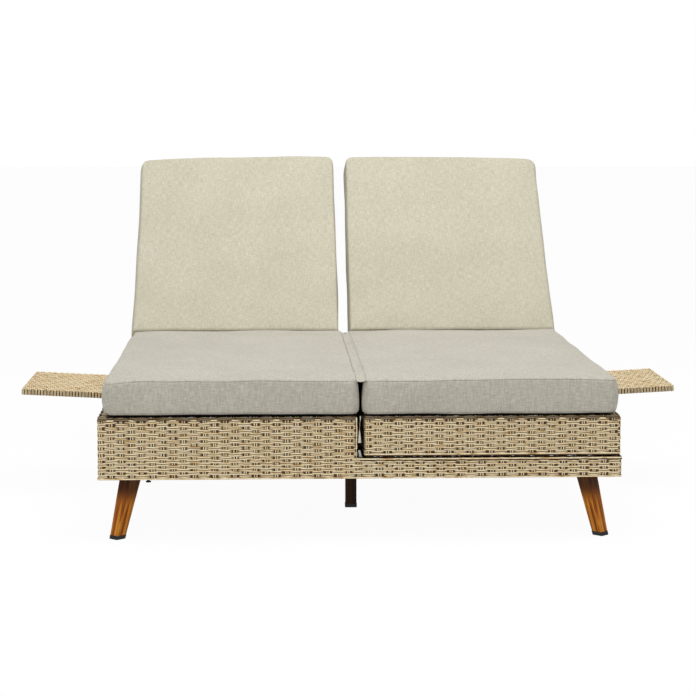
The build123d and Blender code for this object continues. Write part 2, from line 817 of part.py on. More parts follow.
make_all()
os.makedirs("parts", exist_ok=True)
for name, pieces in nodes.items():
    solids = [solid for piece in pieces for solid in piece.solids()]
    export_step(Compound(label=name, children=solids), f"parts/{name}.step")
print(len(nodes), "nodes")
for recline in recline_stop_angles:
    print("recline", recline, "foot bar at y, z", [round(value, 2) for value in stay_foot(recline)])
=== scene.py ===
# %% [markdown]
# # A woven double chaise lounger
#
# This notebook dresses a measured model of a patio lounger so that it looks like the real one.
# The measured model brings the frame, the legs, the hinges and the joints. What the eye meets
# first is made here: the resin weave, the cushions, the timber and the light.
#
# Blender works in metres. Sizes below are written in millimetres and multiplied by `mm`.

# %% Load the measured model
import json
from math import cos, hypot, pi, radians, sin, tan

import bpy
import numpy as np
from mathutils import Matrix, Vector
from mathutils.bvhtree import BVHTree


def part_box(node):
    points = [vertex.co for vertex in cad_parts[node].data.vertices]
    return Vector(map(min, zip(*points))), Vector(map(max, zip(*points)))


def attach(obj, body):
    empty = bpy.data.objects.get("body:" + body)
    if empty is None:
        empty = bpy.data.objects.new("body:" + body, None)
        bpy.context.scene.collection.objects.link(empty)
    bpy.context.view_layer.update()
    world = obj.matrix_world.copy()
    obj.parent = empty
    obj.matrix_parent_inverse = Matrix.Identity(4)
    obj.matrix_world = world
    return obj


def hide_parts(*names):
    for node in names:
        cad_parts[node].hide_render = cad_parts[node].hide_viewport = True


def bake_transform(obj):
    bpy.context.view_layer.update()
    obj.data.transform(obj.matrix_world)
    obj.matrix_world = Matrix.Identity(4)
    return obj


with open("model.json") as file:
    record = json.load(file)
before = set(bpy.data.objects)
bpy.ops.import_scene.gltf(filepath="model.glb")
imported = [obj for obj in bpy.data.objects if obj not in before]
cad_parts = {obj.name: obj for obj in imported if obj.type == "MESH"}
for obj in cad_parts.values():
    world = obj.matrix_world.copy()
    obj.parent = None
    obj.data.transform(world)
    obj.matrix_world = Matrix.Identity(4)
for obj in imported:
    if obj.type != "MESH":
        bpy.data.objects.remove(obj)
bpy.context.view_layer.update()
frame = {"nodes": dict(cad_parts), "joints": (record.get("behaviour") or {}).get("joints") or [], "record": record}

mm = 0.001
nodes = frame["nodes"]

# %% [markdown]
# ## Sizes that the solids share
#
# A piece that stands for a solid has to sit where that solid is.

# %% Read the levels and the hinge
joints = {joint["name"]: joint for joint in frame["joints"]}
hinge_x, hinge_y, hinge_z = joints["left_back_recline"]["pos_m"]
rest_angle = radians(48)
mitre_angle = rest_angle / 2
side_signs = {"left": -1, "right": 1}

rail_low, rail_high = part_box("low_rail_weave")
block_low, block_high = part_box("left_front_weave")
module_low, module_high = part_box("right_front_weave")
front, rear = rail_low.y, rail_high.y
half_width = rail_high.x
inner_gap = block_high.x
apron_bottom, rim_top = block_low.z, block_high.z
module_bottom = module_low.z
print("rim at", round(rim_top / mm), "mm, hinge at", round(hinge_z / mm), "mm")

# %% [markdown]
# ## Colours
#
# Colours are easier to judge as the hex codes that a paint program shows. Those are sRGB, and a
# renderer adds light in linear values, so one function turns each code to linear.

# %% Turn a hex colour to linear


def hex_linear(code):
    """Linear red, green, blue and alpha for an sRGB hex code."""
    channels = [int(code[start:start + 2], 16) / 255 for start in (1, 3, 5)]
    linear = [c / 12.92 if c <= 0.04045 else ((c + 0.055) / 1.055) ** 2.4 for c in channels]
    return (*linear, 1.0)


print("mid grey is", round(hex_linear("#808080")[0], 3), "in linear light")

# %% [markdown]
# ## One helper for all the shader nodes
#
# A material is a small graph. This helper adds one node, sets what it needs and links it: a node
# given as an input is linked from its first output in use. `stops` fills a colour ramp, and each
# stop is a position and a hex code. Most materials here end in the same three nodes, a relief, a
# surface and the output, so a short function adds those.

# %% Add a node with its settings and links


def add_node(tree, kind, inputs=None, stops=None, **settings):
    """One node in a tree. inputs maps a socket to a value, or to what feeds it."""
    node = tree.nodes.new(kind)
    for name, value in settings.items():
        setattr(node, name, value)
    for socket, value in (inputs or {}).items():
        target = node.inputs[socket]
        if isinstance(socket, str):
            target = [s for s in node.inputs if s.name == socket and s.enabled][0]
        if isinstance(value, bpy.types.Node):
            value = [s for s in value.outputs if s.enabled][0]
        if isinstance(value, bpy.types.NodeSocket):
            tree.links.new(value, target)
        else:
            target.default_value = value
    if stops:
        ramp = node.color_ramp.elements
        while len(ramp) < len(stops):
            ramp.new(1.0)
        for element, (position, code) in zip(ramp, stops):
            element.position = position
            element.color = hex_linear(code)
    return node


def new_finish(name, look_colour):
    """An empty material and its node tree."""
    finish = bpy.data.materials.new(name)
    finish.use_nodes = True
    finish.diffuse_color = hex_linear(look_colour)
    finish.node_tree.nodes.clear()
    return finish, finish.node_tree


def end_finish(tree, colour, relief, strength, depth, values):
    """The last nodes of a material: a relief that deep, the surface and the output."""
    bump = add_node(tree, "ShaderNodeBump", {"Height": relief, "Strength": strength,
                                             "Distance": depth})
    surface = add_node(tree, "ShaderNodeBsdfPrincipled", {"Base Color": colour, "Normal": bump,
                                                          **values})
    add_node(tree, "ShaderNodeOutputMaterial", {"Surface": surface})


print("materials so far:", len(bpy.data.materials))

# %% [markdown]
# ## Resin strand
#
# The weave is polyethylene rattan: half-round strands, extruded from a hot die and laid in pairs.
# Several colours of resin run together in the die, so one strand drifts between cream, tan,
# pink-brown and olive along its length, with fine streaks along it. The die leaves a satin skin,
# which gives each strand a soft gleam along its crown. Polyethylene's index of refraction is 1.51.
#
# Shade is painted into a strand's colour along its two edges and where it dips behind a stake, where
# the weave's crevices fall dark. Each strand of the mesh below carries how far along it a point is,
# how far across, a number of its own, and how much shade is painted on it, which mostly follows how
# deep the point is tucked, and the pattern follows those, so it turns with the strand.

# %% Lay noise along a strand
strand_width = 4.6 * mm
drift_length = 46 * mm
streak_width = 1.1 * mm
streak_length = 90 * mm
drift_apart = 97.0
streak_apart = 61.0
streak_share = 0.28

resin_strand, tree = new_finish("polyethylene_rattan_extruded", "#BFA57D")
strand = add_node(tree, "ShaderNodeAttribute", attribute_name="strand").outputs["Vector"]
along, across, own = add_node(tree, "ShaderNodeSeparateXYZ", {0: strand}).outputs
drift_place = add_node(tree, "ShaderNodeVectorMath", {
    0: add_node(tree, "ShaderNodeCombineXYZ", {0: along, 1: own}),
    1: (1 / drift_length, drift_apart, 0)}, operation="MULTIPLY")
drift = add_node(tree, "ShaderNodeTexNoise", {"Vector": drift_place, "Scale": 1.0,
                                              "Detail": 2.0, "Roughness": 0.6})
streak_place = add_node(tree, "ShaderNodeVectorMath", {
    0: strand, 1: (1 / streak_length, strand_width / streak_width, streak_apart)},
    operation="MULTIPLY")
streaks = add_node(tree, "ShaderNodeTexNoise", {"Vector": streak_place, "Scale": 1.0,
                                                "Detail": 2.0, "Roughness": 0.55})
fine = add_node(tree, "ShaderNodeMath", {0: streaks, 1: streak_share}, operation="MULTIPLY")
blend = add_node(tree, "ShaderNodeMath", {0: drift, 1: 1 - streak_share, 2: fine},
                 operation="MULTIPLY_ADD")
resin_colour = add_node(tree, "ShaderNodeValToRGB", {0: blend}, stops=[
    (0.37, "#B98F50"), (0.42, "#EAC88C"), (0.46, "#FEE3AE"), (0.51, "#FFF4CE"),
    (0.56, "#F8D3A2"), (0.61, "#E0C48A"), (0.66, "#FFFAE0"),
])
print("a strand changes colour about every", drift_length / mm, "mm")

# %% Shade a strand's edges and dips
edge_from, edge_to = 0.2, 0.48
tuck_from, tuck_left = 0.58, 0.08
strand_gleam = 0.85

# Painted shade: the resin colour darkens along a strand's two edges and where it is tucked behind a stake.
tucked = add_node(tree, "ShaderNodeAttribute", attribute_name="tucked").outputs["Fac"]
from_middle = add_node(tree, "ShaderNodeMath", {0: across}, operation="ABSOLUTE")
edge_shade = add_node(tree, "ShaderNodeMapRange", {
    "Value": from_middle, "From Min": edge_from, "From Max": edge_to, "To Min": 1.0,
    "To Max": 0.0}, interpolation_type="SMOOTHSTEP")
tuck_shade = add_node(tree, "ShaderNodeMapRange", {
    "Value": tucked, "From Min": tuck_from, "From Max": 1.0, "To Min": 1.0,
    "To Max": tuck_left}, interpolation_type="SMOOTHSTEP")
shade = add_node(tree, "ShaderNodeMath", {0: edge_shade, 1: tuck_shade}, operation="MULTIPLY")
# The dark brown that the painted shade darkens the resin towards.
painted_shade_mix = add_node(tree, "ShaderNodeMix", {"Factor": shade, "A": hex_linear("#2C1602"),
                                         "B": resin_colour}, data_type="RGBA")
gleam = add_node(tree, "ShaderNodeMath", {0: shade, 1: strand_gleam}, operation="MULTIPLY")
end_finish(tree, painted_shade_mix, streaks, 0.6, 0.5 * mm,
           {"Roughness": 0.34, "IOR": 1.51, "Specular IOR Level": gleam})
print(resin_strand.name, "has", len(tree.nodes), "nodes")

# %% [markdown]
# ## Upholstery
#
# The covers are solution-dyed olefin in a plain weave of slub yarns: uneven yarns that are thick
# and pale in places, so the cloth looks heathered, like linen. The yarns cross, so one noise is
# drawn out along the width and another along the length. A real yarn here is 0.5 mm, too fine to
# show, so the slubs are drawn 2.2 mm wide. Each cushion carries where its points lay before it was
# shaped, and the pattern follows that, so it stays put when a back moves. Olefin's index is 1.49.

# %% Make the two tones of upholstery
slub_width = 2.2 * mm
slub_length = 19 * mm
shade_patch = 160 * mm
weft = (1 / slub_length, 1 / slub_width, 1 / slub_width)
warp = (1 / slub_width, 1 / slub_length, 1 / slub_length)


def make_upholstery(name, dark, middle, pale):
    """Slub cloth of three tones, for the seats or for the backs."""
    finish, tree = new_finish(name, middle)
    place = add_node(tree, "ShaderNodeAttribute", attribute_name="cloth").outputs["Vector"]
    yarns = []
    for stretch in (weft, warp):
        scaled = add_node(tree, "ShaderNodeVectorMath", {0: place, 1: stretch},
                          operation="MULTIPLY")
        yarns.append(add_node(tree, "ShaderNodeTexNoise", {"Vector": scaled, "Scale": 1.0,
                                                           "Detail": 3.0, "Roughness": 0.6}))
    crossing = add_node(tree, "ShaderNodeMath", {0: yarns[0], 1: yarns[1]}, operation="ADD")
    patches = add_node(tree, "ShaderNodeTexNoise", {"Vector": place, "Scale": 1 / shade_patch,
                                                    "Detail": 2.0})
    faint = add_node(tree, "ShaderNodeMath", {0: patches, 1: 0.10}, operation="MULTIPLY")
    mixed = add_node(tree, "ShaderNodeMath", {0: crossing, 1: 0.45, 2: faint},
                     operation="MULTIPLY_ADD")
    colour = add_node(tree, "ShaderNodeValToRGB", {0: mixed},
                      stops=[(0.36, dark), (0.50, middle), (0.64, pale)])
    # The colour darkens at a seam: partly its thread, partly painted shade of the crease.
    seam = add_node(tree, "ShaderNodeAttribute", attribute_name="seam").outputs["Fac"]
    crease = add_node(tree, "ShaderNodeMapRange", {
        "Value": seam, "From Min": 0.25, "From Max": 1.0, "To Min": 0.0, "To Max": 0.75},
        interpolation_type="SMOOTHSTEP")
    creased = add_node(tree, "ShaderNodeMix", {"Factor": crease, "A": colour,
                                               "B": hex_linear("#5C584C")}, data_type="RGBA")
    end_finish(tree, creased, crossing, 0.35, 0.5 * mm, {
        "Roughness": 0.92, "IOR": 1.49, "Sheen Weight": 0.15, "Sheen Roughness": 0.5})
    return finish


seat_cloth = make_upholstery("olefin_slub_seat", "#A8A497", "#BFBAAC", "#D3CFC3")
back_cloth = make_upholstery("olefin_slub_back", "#B4AE98", "#C6C1AB", "#DAD4C2")
print(seat_cloth.name, "and", back_cloth.name)

# %% Make the non-slip cloth of the underside
grip_dot = 4 * mm

# Its black is partly painted shade: it deepens the dark line under a cushion's curled front edge.
underside_cloth, tree = new_finish("polyester_nonslip_black", "#1C1C1B")
place = add_node(tree, "ShaderNodeTexCoord").outputs["Object"]
dots = add_node(tree, "ShaderNodeTexVoronoi", {"Vector": place, "Scale": 1 / grip_dot,
                                               "Randomness": 0.1})
dot_colour = add_node(tree, "ShaderNodeValToRGB", {0: dots},
                      stops=[(0.25, "#0E0E0E"), (0.45, "#232221")])
end_finish(tree, dot_colour, dots, 0.4, 0.4 * mm, {"Roughness": 0.85, "IOR": 1.54})
print(underside_cloth.name, "with dots", grip_dot / mm, "mm apart")

# %% [markdown]
# ## Oiled acacia and dark stained timber
#
# The splayed legs are acacia: orange-brown timber with dark straight figure along the leg, planed
# and oiled, so it has a low satin gleam. The upper third of each leg is darker and ends in ragged
# streaks: partly the timber's darker tone, partly painted shade under the apron. The grain has to run
# along a leg that leans both ways.
# Every leg leans outwards alike, so adding a share of the height to the distance from the middle
# straightens all four at once. Wood finished with oil has an index near 1.5.

# %% Make the timbers
leg_splay = radians(12.4)
grain_width = 3.2 * mm
grain_length = 150 * mm
ragged_reach = 90 * mm


def make_timber(name, stops, splay, roughness, top_darkening):
    """Straight-grained timber along the legs, darker towards the top: partly its own tone, partly painted shade
    under the apron. The last argument is where that starts, ends and how strong.
    """
    finish, tree = new_finish(name, stops[1][1])
    place = add_node(tree, "ShaderNodeTexCoord").outputs["Object"]
    x, y, z = add_node(tree, "ShaderNodeSeparateXYZ", {0: place}).outputs
    straight = {2: z}
    for axis, value in ((0, x), (1, y)):
        size = add_node(tree, "ShaderNodeMath", {0: value}, operation="ABSOLUTE")
        straight[axis] = add_node(tree, "ShaderNodeMath", {0: z, 1: tan(splay), 2: size},
                                  operation="MULTIPLY_ADD")
    drawn = add_node(tree, "ShaderNodeVectorMath", {
        0: add_node(tree, "ShaderNodeCombineXYZ", straight),
        1: (1 / grain_width, 1 / grain_width, 1 / grain_length)}, operation="MULTIPLY")
    figure = add_node(tree, "ShaderNodeTexNoise", {"Vector": drawn, "Scale": 0.42,
                                                   "Detail": 3.0, "Distortion": 0.4})
    pores = add_node(tree, "ShaderNodeTexNoise", {"Vector": drawn, "Scale": 2.0, "Detail": 2.0})
    fine = add_node(tree, "ShaderNodeMath", {0: pores, 1: 0.25}, operation="MULTIPLY")
    mixed = add_node(tree, "ShaderNodeMath", {0: figure, 1: 0.75, 2: fine},
                     operation="MULTIPLY_ADD")
    colour = add_node(tree, "ShaderNodeValToRGB", {0: mixed}, stops=stops)
    ragged = add_node(tree, "ShaderNodeMath", {0: figure, 1: ragged_reach, 2: z},
                      operation="MULTIPLY_ADD")
    # Painted shade under the apron, mixed with the timber's darker tone, towards the top of the leg.
    top_darkened = add_node(tree, "ShaderNodeMapRange", {
        "Value": ragged, "From Min": top_darkening[0] + ragged_reach / 2,
        "From Max": top_darkening[1] + ragged_reach / 2, "To Min": 0.0, "To Max": top_darkening[2]},
        interpolation_type="SMOOTHSTEP")
    toned = add_node(tree, "ShaderNodeMix", {"Factor": top_darkened, "A": colour,
                                             "B": hex_linear("#2C1000")}, data_type="RGBA")
    end_finish(tree, toned, pores, 0.3, 0.3 * mm,
               {"Roughness": roughness, "IOR": 1.5, "Specular IOR Level": 0.2})
    return finish


# Both timbers darken towards the top of the leg: partly their own tone, partly painted shade.
acacia = make_timber("acacia_planed_oiled", [
    (0.38, "#7C3A08"), (0.47, "#AC5C10"), (0.53, "#CC7A1A"), (0.62, "#E69E3C"),
], leg_splay, 0.5, (92 * mm, 132 * mm, 0.84))
dark_timber = make_timber("hardwood_dark_stained", [
    (0.36, "#2A1604"), (0.47, "#442608"), (0.60, "#603C12"),
], 0.0, 0.55, (110 * mm, 166 * mm, 0.5))
print(acacia.name, "and", dark_timber.name)

# %% [markdown]
# ## Coated and plated steel, moulded plastic and webbing
#
# The tubes are mild steel under a polyester powder coat. The powder melts in an oven and levels
# out only partly, which leaves a faint orange-peel skin. Small parts such as pins and bolts are
# zinc plated, so they stay metal to the eye. Foot caps and pads are moulded polypropylene with a
# fine spark texture from the mould. The deck is woven polypropylene webbing.

# %% Make the workshop finishes
orange_peel = 1.8 * mm
cloud_share = 40  # clouds of tone are this many times as wide as the relief


def make_plain_finish(name, dark, pale, grit, depth, values):
    """A coat, plating or moulding: two close tones and a fine relief of a given size."""
    finish, tree = new_finish(name, pale)
    place = add_node(tree, "ShaderNodeTexCoord").outputs["Object"]
    relief = add_node(tree, "ShaderNodeTexNoise", {"Vector": place, "Scale": 1 / grit,
                                                   "Detail": 2.0})
    clouds = add_node(tree, "ShaderNodeTexNoise", {
        "Vector": place, "Scale": 1 / (cloud_share * grit), "Detail": 3.0})
    colour = add_node(tree, "ShaderNodeValToRGB", {0: clouds}, stops=[(0.35, dark), (0.65, pale)])
    end_finish(tree, colour, relief, 0.4, depth, values)
    return finish


coated_steel = make_plain_finish(
    "steel_powder_coated_brown", "#4A3018", "#5C3E22", orange_peel, 0.12 * mm,
    {"Roughness": 0.5, "IOR": 1.5, "Specular IOR Level": 0.25})
zinc_plate = make_plain_finish(
    "steel_zinc_plated", "#9C9E9F", "#B4B6B6", 0.8 * mm, 0.05 * mm,
    {"Roughness": 0.34, "Metallic": 1.0})
black_moulding = make_plain_finish(
    "polypropylene_moulded_black", "#161616", "#202020", 0.7 * mm, 0.08 * mm,
    {"Roughness": 0.6, "IOR": 1.49})
white_tape = make_plain_finish(
    "polyester_tape_white", "#D8D6CE", "#E6E4DC", 0.9 * mm, 0.1 * mm,
    {"Roughness": 0.8, "IOR": 1.54})
print("orange peel repeats every", orange_peel / mm, "mm")

# %% Make the webbing
web_width = 50 * mm
web_rib = 8 * mm

deck_webbing, tree = new_finish("polypropylene_webbing_woven", "#1B1A18")
place = add_node(tree, "ShaderNodeTexCoord").outputs["Object"]
checker = add_node(tree, "ShaderNodeTexChecker", {
    "Vector": place, "Color1": hex_linear("#1A1917"), "Color2": hex_linear("#25231F"),
    "Scale": 1 / web_width})
ribs = add_node(tree, "ShaderNodeTexWave", {"Vector": place, "Scale": 1 / web_rib,
                                            "Distortion": 0.5}, bands_direction="DIAGONAL")
end_finish(tree, checker, ribs.outputs["Fac"], 0.5, 0.4 * mm, {"Roughness": 0.75, "IOR": 1.49})
print(deck_webbing.name, "in strips of", web_width / mm, "mm")

# %% [markdown]
# ## Give every solid its finish
#
# The record names a slot for each solid, such as `frame_steel`. A table turns slots to finishes,
# so no solid keeps the flat colour that it came with.

# %% Finish the solids by slot
slot_finish = {
    "wicker": resin_strand, "seat_fabric": seat_cloth, "back_fabric": back_cloth,
    "webbing": deck_webbing, "acacia": acacia, "dark_wood": dark_timber,
    "black_plastic": black_moulding, "frame_steel": coated_steel, "zinc": zinc_plate,
}
for part in frame["record"]["subparts"]:
    mesh = nodes[part["node"]].data
    mesh.materials.clear()
    mesh.materials.append(slot_finish[part["material_slot"]])
print(len(slot_finish), "finishes on", len(nodes), "solids")

# %% [markdown]
# ## Pieces made of points and faces
#
# Everything drawn below is a mesh: a list of points, and a list of faces between them. Some meshes
# carry a value at each point, such as how far along its strand the point lies, and a material
# reads it. Thickness and smoothing come from modifiers, which are applied at once.

# %% Make a mesh object


def new_piece(name, points, faces, finish):
    """A smooth mesh object in the scene."""
    mesh = bpy.data.meshes.new(name)
    mesh.from_pydata(points, [], faces)
    mesh.materials.append(finish)
    mesh.shade_smooth()
    piece = bpy.data.objects.new(name, mesh)
    bpy.context.scene.collection.objects.link(piece)
    return piece


def tag_points(piece, name, values):
    """Store a number or a vector at each point of a piece."""
    values = np.asarray(values, np.float32)
    kind, field = ("FLOAT", "value") if values.ndim == 1 else ("FLOAT_VECTOR", "vector")
    attribute = piece.data.attributes.new(name, kind, "POINT")
    attribute.data.foreach_set(field, values.ravel())


def apply_modifiers(piece):
    """Turn what the modifiers make of a piece into its mesh."""
    evaluated = piece.evaluated_get(bpy.context.evaluated_depsgraph_get())
    final = bpy.data.meshes.new_from_object(evaluated)
    piece.modifiers.clear()
    piece.data = final
    final.shade_smooth()


# %% [markdown]
# ## How the weave is built
#
# A real weaver stretches upright stakes round the frame, two side by side, and passes a pair of
# strands over a stake and under the next. The next row does the opposite. A picture of weave would
# look flat from the side, so every row is geometry: a line of points that swings in and out like a
# cosine, with its peaks on the stakes, swept with a section of two rounds and the groove between
# them. A stake or a border is a single strand, with one round. One bundle collects the strands of
# a piece, because one mesh is far quicker than a thousand small ones.

# %% Sweep a section along a line
strand_thickness = 2.9 * mm
pair_thickness = 1.9 * mm

# Each point of a section: place across the strand, height, and share across its own strand.
single_section = np.array([(-0.5, 0.0, -0.5), (-0.37, 0.68, -0.37), (0.0, 1.0, 0.0),
                           (0.37, 0.68, 0.37), (0.5, 0.0, 0.5)])
pair_section = np.array([(-0.5, 0.0, -0.5), (-0.26, 1.0, 0.0), (0.0, 0.3, 0.5),
                         (0.26, 1.0, 0.0), (0.5, 0.0, -0.5)])


def sweep(centre, out, across, width, section):
    """Rings of points along a line. out is the way that the round side looks."""
    thickness = pair_thickness if section is pair_section else strand_thickness
    sides = section[:, 0] * width[:, None]
    heights = (section[:, 1] - 0.5) * thickness
    return (centre[:, None, :] + sides[:, :, None] * across[:, None, :]
            + heights[None, :, None] * out[:, None, :])


def ring_faces(total, size, first, closed):
    """Faces from each ring of points to the next, and a cap at each end of an open line."""
    ring = np.arange(total if closed else total - 1)
    near = first + ring[:, None] * size + np.arange(size)
    far = first + ((ring + 1) % total)[:, None] * size + np.arange(size)
    quads = np.stack([near, np.roll(near, -1, 1), np.roll(far, -1, 1), far], axis=2)
    faces = quads.reshape(-1, 4).tolist()
    if not closed:
        last = first + (total - 1) * size
        faces.append(list(range(first + size - 1, first - 1, -1)))
        faces.append(list(range(last, last + size)))
    return faces


print("a pair of strands has", len(pair_section), "points across")

# %% Collect strands in one mesh
pair_tone_step = 0.017
sharp_strand_angle = radians(80)


class StrandBundle:
    """Strands of one woven piece, collected as points and faces."""

    def __init__(self, seed):
        self.random = np.random.default_rng(seed)
        self.points, self.faces, self.facts, self.depths = [], [], [], []
        self.count = 0

    def add(self, centre, out, across, width, closed=False, tucked=0.0, section=single_section):
        """Add a strand along a line. The depth of shade painted at each of its points mostly follows how deep it
        is tucked.
        """
        centre = np.asarray(centre, float)
        out, across = (np.broadcast_to(value, centre.shape) for value in (out, across))
        rings = sweep(centre, out, across, np.broadcast_to(width, len(centre)), section)
        steps = np.linalg.norm(np.diff(centre, axis=0), axis=1)
        fact = np.empty(rings.shape)
        fact[:, :, 0] = np.concatenate([[0.0], np.cumsum(steps)])[:, None]
        fact[:, :, 1] = section[:, 2]
        fact[:, :, 2] = self.random.random()
        if section is pair_section:
            fact[:, :, 2] += pair_tone_step * np.sign(section[:, 0])
        self.faces.extend(ring_faces(len(centre), len(section), self.count, closed))
        self.points.append(rings.reshape(-1, 3))
        self.facts.append(fact.reshape(-1, 3))
        self.depths.append(np.repeat(np.broadcast_to(tucked, len(centre)), len(section)))
        self.count += len(centre) * len(section)

    def build(self, name, place=None):
        """The mesh object of all strands. place moves the points from a flat drawing."""
        points = np.concatenate(self.points)
        if place:
            points = place(points)
        piece = new_piece(name, points.tolist(), self.faces, resin_strand)
        tag_points(piece, "strand", np.concatenate(self.facts))
        tag_points(piece, "tucked", np.concatenate(self.depths))
        piece.data.set_sharp_from_angle(angle=sharp_strand_angle)
        print(name, len(points), "points")
        return piece


print("the two strands of a pair differ in tone by", pair_tone_step)

# %% [markdown]
# ## A line round a block
#
# Seen from above, each woven block is a rectangle with slightly rounded corners. Strands run round
# it without a break, so the drawing needs one line: at any distance along it, where is the point,
# and which way is out?

# %% Walk round a rectangle
corner_radius = 6 * mm
least_radius = 0.5 * mm
corner_turns = 4


class BlockOutline:
    """The rounded outline of a block in plan, walked from its front left corner."""

    def __init__(self, low, high, inset=0.0):
        radius = max(corner_radius - inset, least_radius)
        x_low, y_low = low[0] + inset, low[1] + inset
        x_high, y_high = high[0] - inset, high[1] - inset
        corners = [
            (x_high - radius, y_low + radius, -90), (x_high - radius, y_high - radius, 0),
            (x_low + radius, y_high - radius, 90), (x_low + radius, y_low + radius, 180),
        ]
        line = [(x_low + radius, y_low, 0.0, -1.0)]
        for x, y, start in corners:
            for step in range(corner_turns + 1):
                angle = radians(start + 90 / corner_turns * step)
                line.append((x + radius * cos(angle), y + radius * sin(angle),
                             cos(angle), sin(angle)))
        self.line = np.array(line)
        steps = np.hypot(*np.diff(self.line[:, :2], axis=0).T)
        self.distances = np.concatenate([[0.0], np.cumsum(steps)])
        self.length = self.distances[-1]

    def at(self, shares):
        """Points and outward directions at shares of the way round."""
        wanted = np.mod(shares, 1.0) * self.length
        values = [np.interp(wanted, self.distances, column) for column in self.line.T]
        points = np.stack([values[0], values[1], np.zeros(len(wanted))], axis=1)
        out = np.stack([values[2], values[3], np.zeros(len(wanted))], axis=1)
        return points, out / np.linalg.norm(out, axis=1)[:, None]


outline = BlockOutline((-half_width, front), (half_width, rear))
print("the base measures", round(outline.length, 3), "m round")

# %% [markdown]
# ## Stakes, rows and borders
#
# The stakes stand 27 mm apart, and a row is 8.7 mm high. A row squeezes narrower where it goes
# behind a stake and swells where it comes over one, which gives the spindle shape that the eye
# reads as wicker. The bottom ends in one border strand. At the top the stakes bend inwards over
# the tube, one row lies on the bend and two lie flat on top, within the thickness of the wall, so
# that the backs find room between the walls when they lie flat. Ahead of the hinge, one more row
# closes the rim under the seat cushion. Hands never space strands evenly, so each row wanders a
# little, and the seed keeps every run alike.

# %% Set the weave's sizes
stake_pitch = 27.3 * mm
row_pitch = 8.74 * mm
row_width = 10.2 * mm
stake_strand_width = 4.6 * mm
stake_pair_offset = 2.9 * mm
swing = 2.5 * mm
skin_depth = 3.6 * mm
stake_wander = 1.3 * mm
spindle_share = 0.12
samples_per_stake = 4
stake_start_share = 0.15
rim_width = 21 * mm
rim_pitch = 7.6 * mm
slot_margin = 3.6 * mm
rim_bend = 7 * mm
bend_share = 1 - cos(pi / 4)
rim_drop = 2.4 * mm
rim_row_drop = 1.7 * mm
border_width = 5.5 * mm
up = np.array([0.0, 0.0, 1.0])
print("a float is about", round(1.7 * stake_pitch / mm), "mm long")

# %% Let a row wander
wander_waves = (23, 61, 140)


def wander(random, shares, size):
    """A small smooth wander along a closed row, so that no two rows are alike."""
    total = np.zeros(len(shares))
    for wave in wander_waves:
        total += np.sin(2 * pi * (wave * shares + random.random())) * random.uniform(0.5, 1.0)
    return total * size / len(wander_waves)


print("each row wanders in", len(wander_waves), "waves, the longest of them",
      round(1 / wander_waves[0], 3), "of the way round")

# %% Weave the rows of a wall
row_phase_wander = 0.2
row_width_wander = 0.12
row_lift_wander = 0.25
row_sway = 1.3 * mm
border_sway = 0.25 * mm


class WovenWall:
    """Rows and borders round one block."""

    def __init__(self, bundle, low, high):
        self.bundle = bundle
        self.low = low
        self.high = high
        self.outer = BlockOutline(low, high)
        self.stakes = 2 * round(self.outer.length / stake_pitch / 2)
        steps = np.arange(self.stakes * samples_per_stake)
        self.turns = steps / samples_per_stake
        self.shares = (self.turns + stake_start_share) / self.stakes

    def row(self, outline, level, number, turn=0.0, dark=0.0, keep=None, slot=None):
        """One pair of strands round the block. turn is 0 on the wall and a right angle on top. dark is the least
        shade painted along it.
        """
        random = self.bundle.random
        points, out = outline.at(self.shares)
        looks = out * cos(turn) + up * sin(turn)
        side = up * cos(turn) - out * sin(turn)
        late = wander(random, self.shares, row_phase_wander)
        phase = np.cos(pi * (self.turns + number + late))
        width = row_width * (1 + spindle_share * phase)
        width = width * (1 + wander(random, self.shares, row_width_wander))
        flatter = 1 - 0.5 * sin(turn)
        lift = swing * phase * (1 + wander(random, self.shares, row_lift_wander)) * flatter
        sway = wander(random, self.shares, row_sway)
        centre = points + up * level - looks * skin_depth * flatter
        centre = centre + looks * lift[:, None] + side * sway[:, None]
        # Painted shade: deeper where the row dips behind a stake, and never less than dark.
        tucked = np.maximum(0.5 - 0.5 * phase, dark)
        self.place(centre, looks, side, width, points, keep, slot, level, tucked, pair_section)

    def place(self, centre, looks, side, width, points, keep, slot, level, tucked, section):
        """Add a strand, whole or without the stretch that keep or a slot takes away."""
        gone = np.zeros(len(centre), bool)
        if keep is not None:
            gone = ~keep(points)
        if slot and slot["low"] - slot_margin < level < slot["high"] + slot_margin:
            gone = slot["beside"](points)
        if not gone.any():
            self.bundle.add(centre, looks, side, width, True, tucked, section)
            return
        start = int(np.flatnonzero(gone & ~np.roll(gone, -1))[0]) + 1
        order = np.roll(np.arange(len(centre)), -start)
        order = order[~gone[order]]
        centre = centre[order].copy()
        for end in (0, -1):
            centre[end] -= looks[order[end]] * 2 * swing
        self.bundle.add(centre, looks[order], side[order], width[order], False, tucked[order],
                        section)

    def border(self, level, proud, width=border_width, keep=None):
        """A long strand without over and under, along an edge."""
        points, out = self.outer.at(self.shares)
        sway = wander(self.bundle.random, self.shares, border_sway)
        centre = points + out * (proud + sway)[:, None] + up * level
        side = np.broadcast_to(up, out.shape)
        self.place(centre, out, side, np.full(len(centre), width), points, keep, None, level,
                   np.zeros(len(centre)), single_section)


print("a row wanders by up to", row_sway / mm, "mm")

# %% Stand the stakes and bend them over the rim
stake_sway = 0.45 * mm
stake_shift = 0.3 * mm
stake_steps = 7


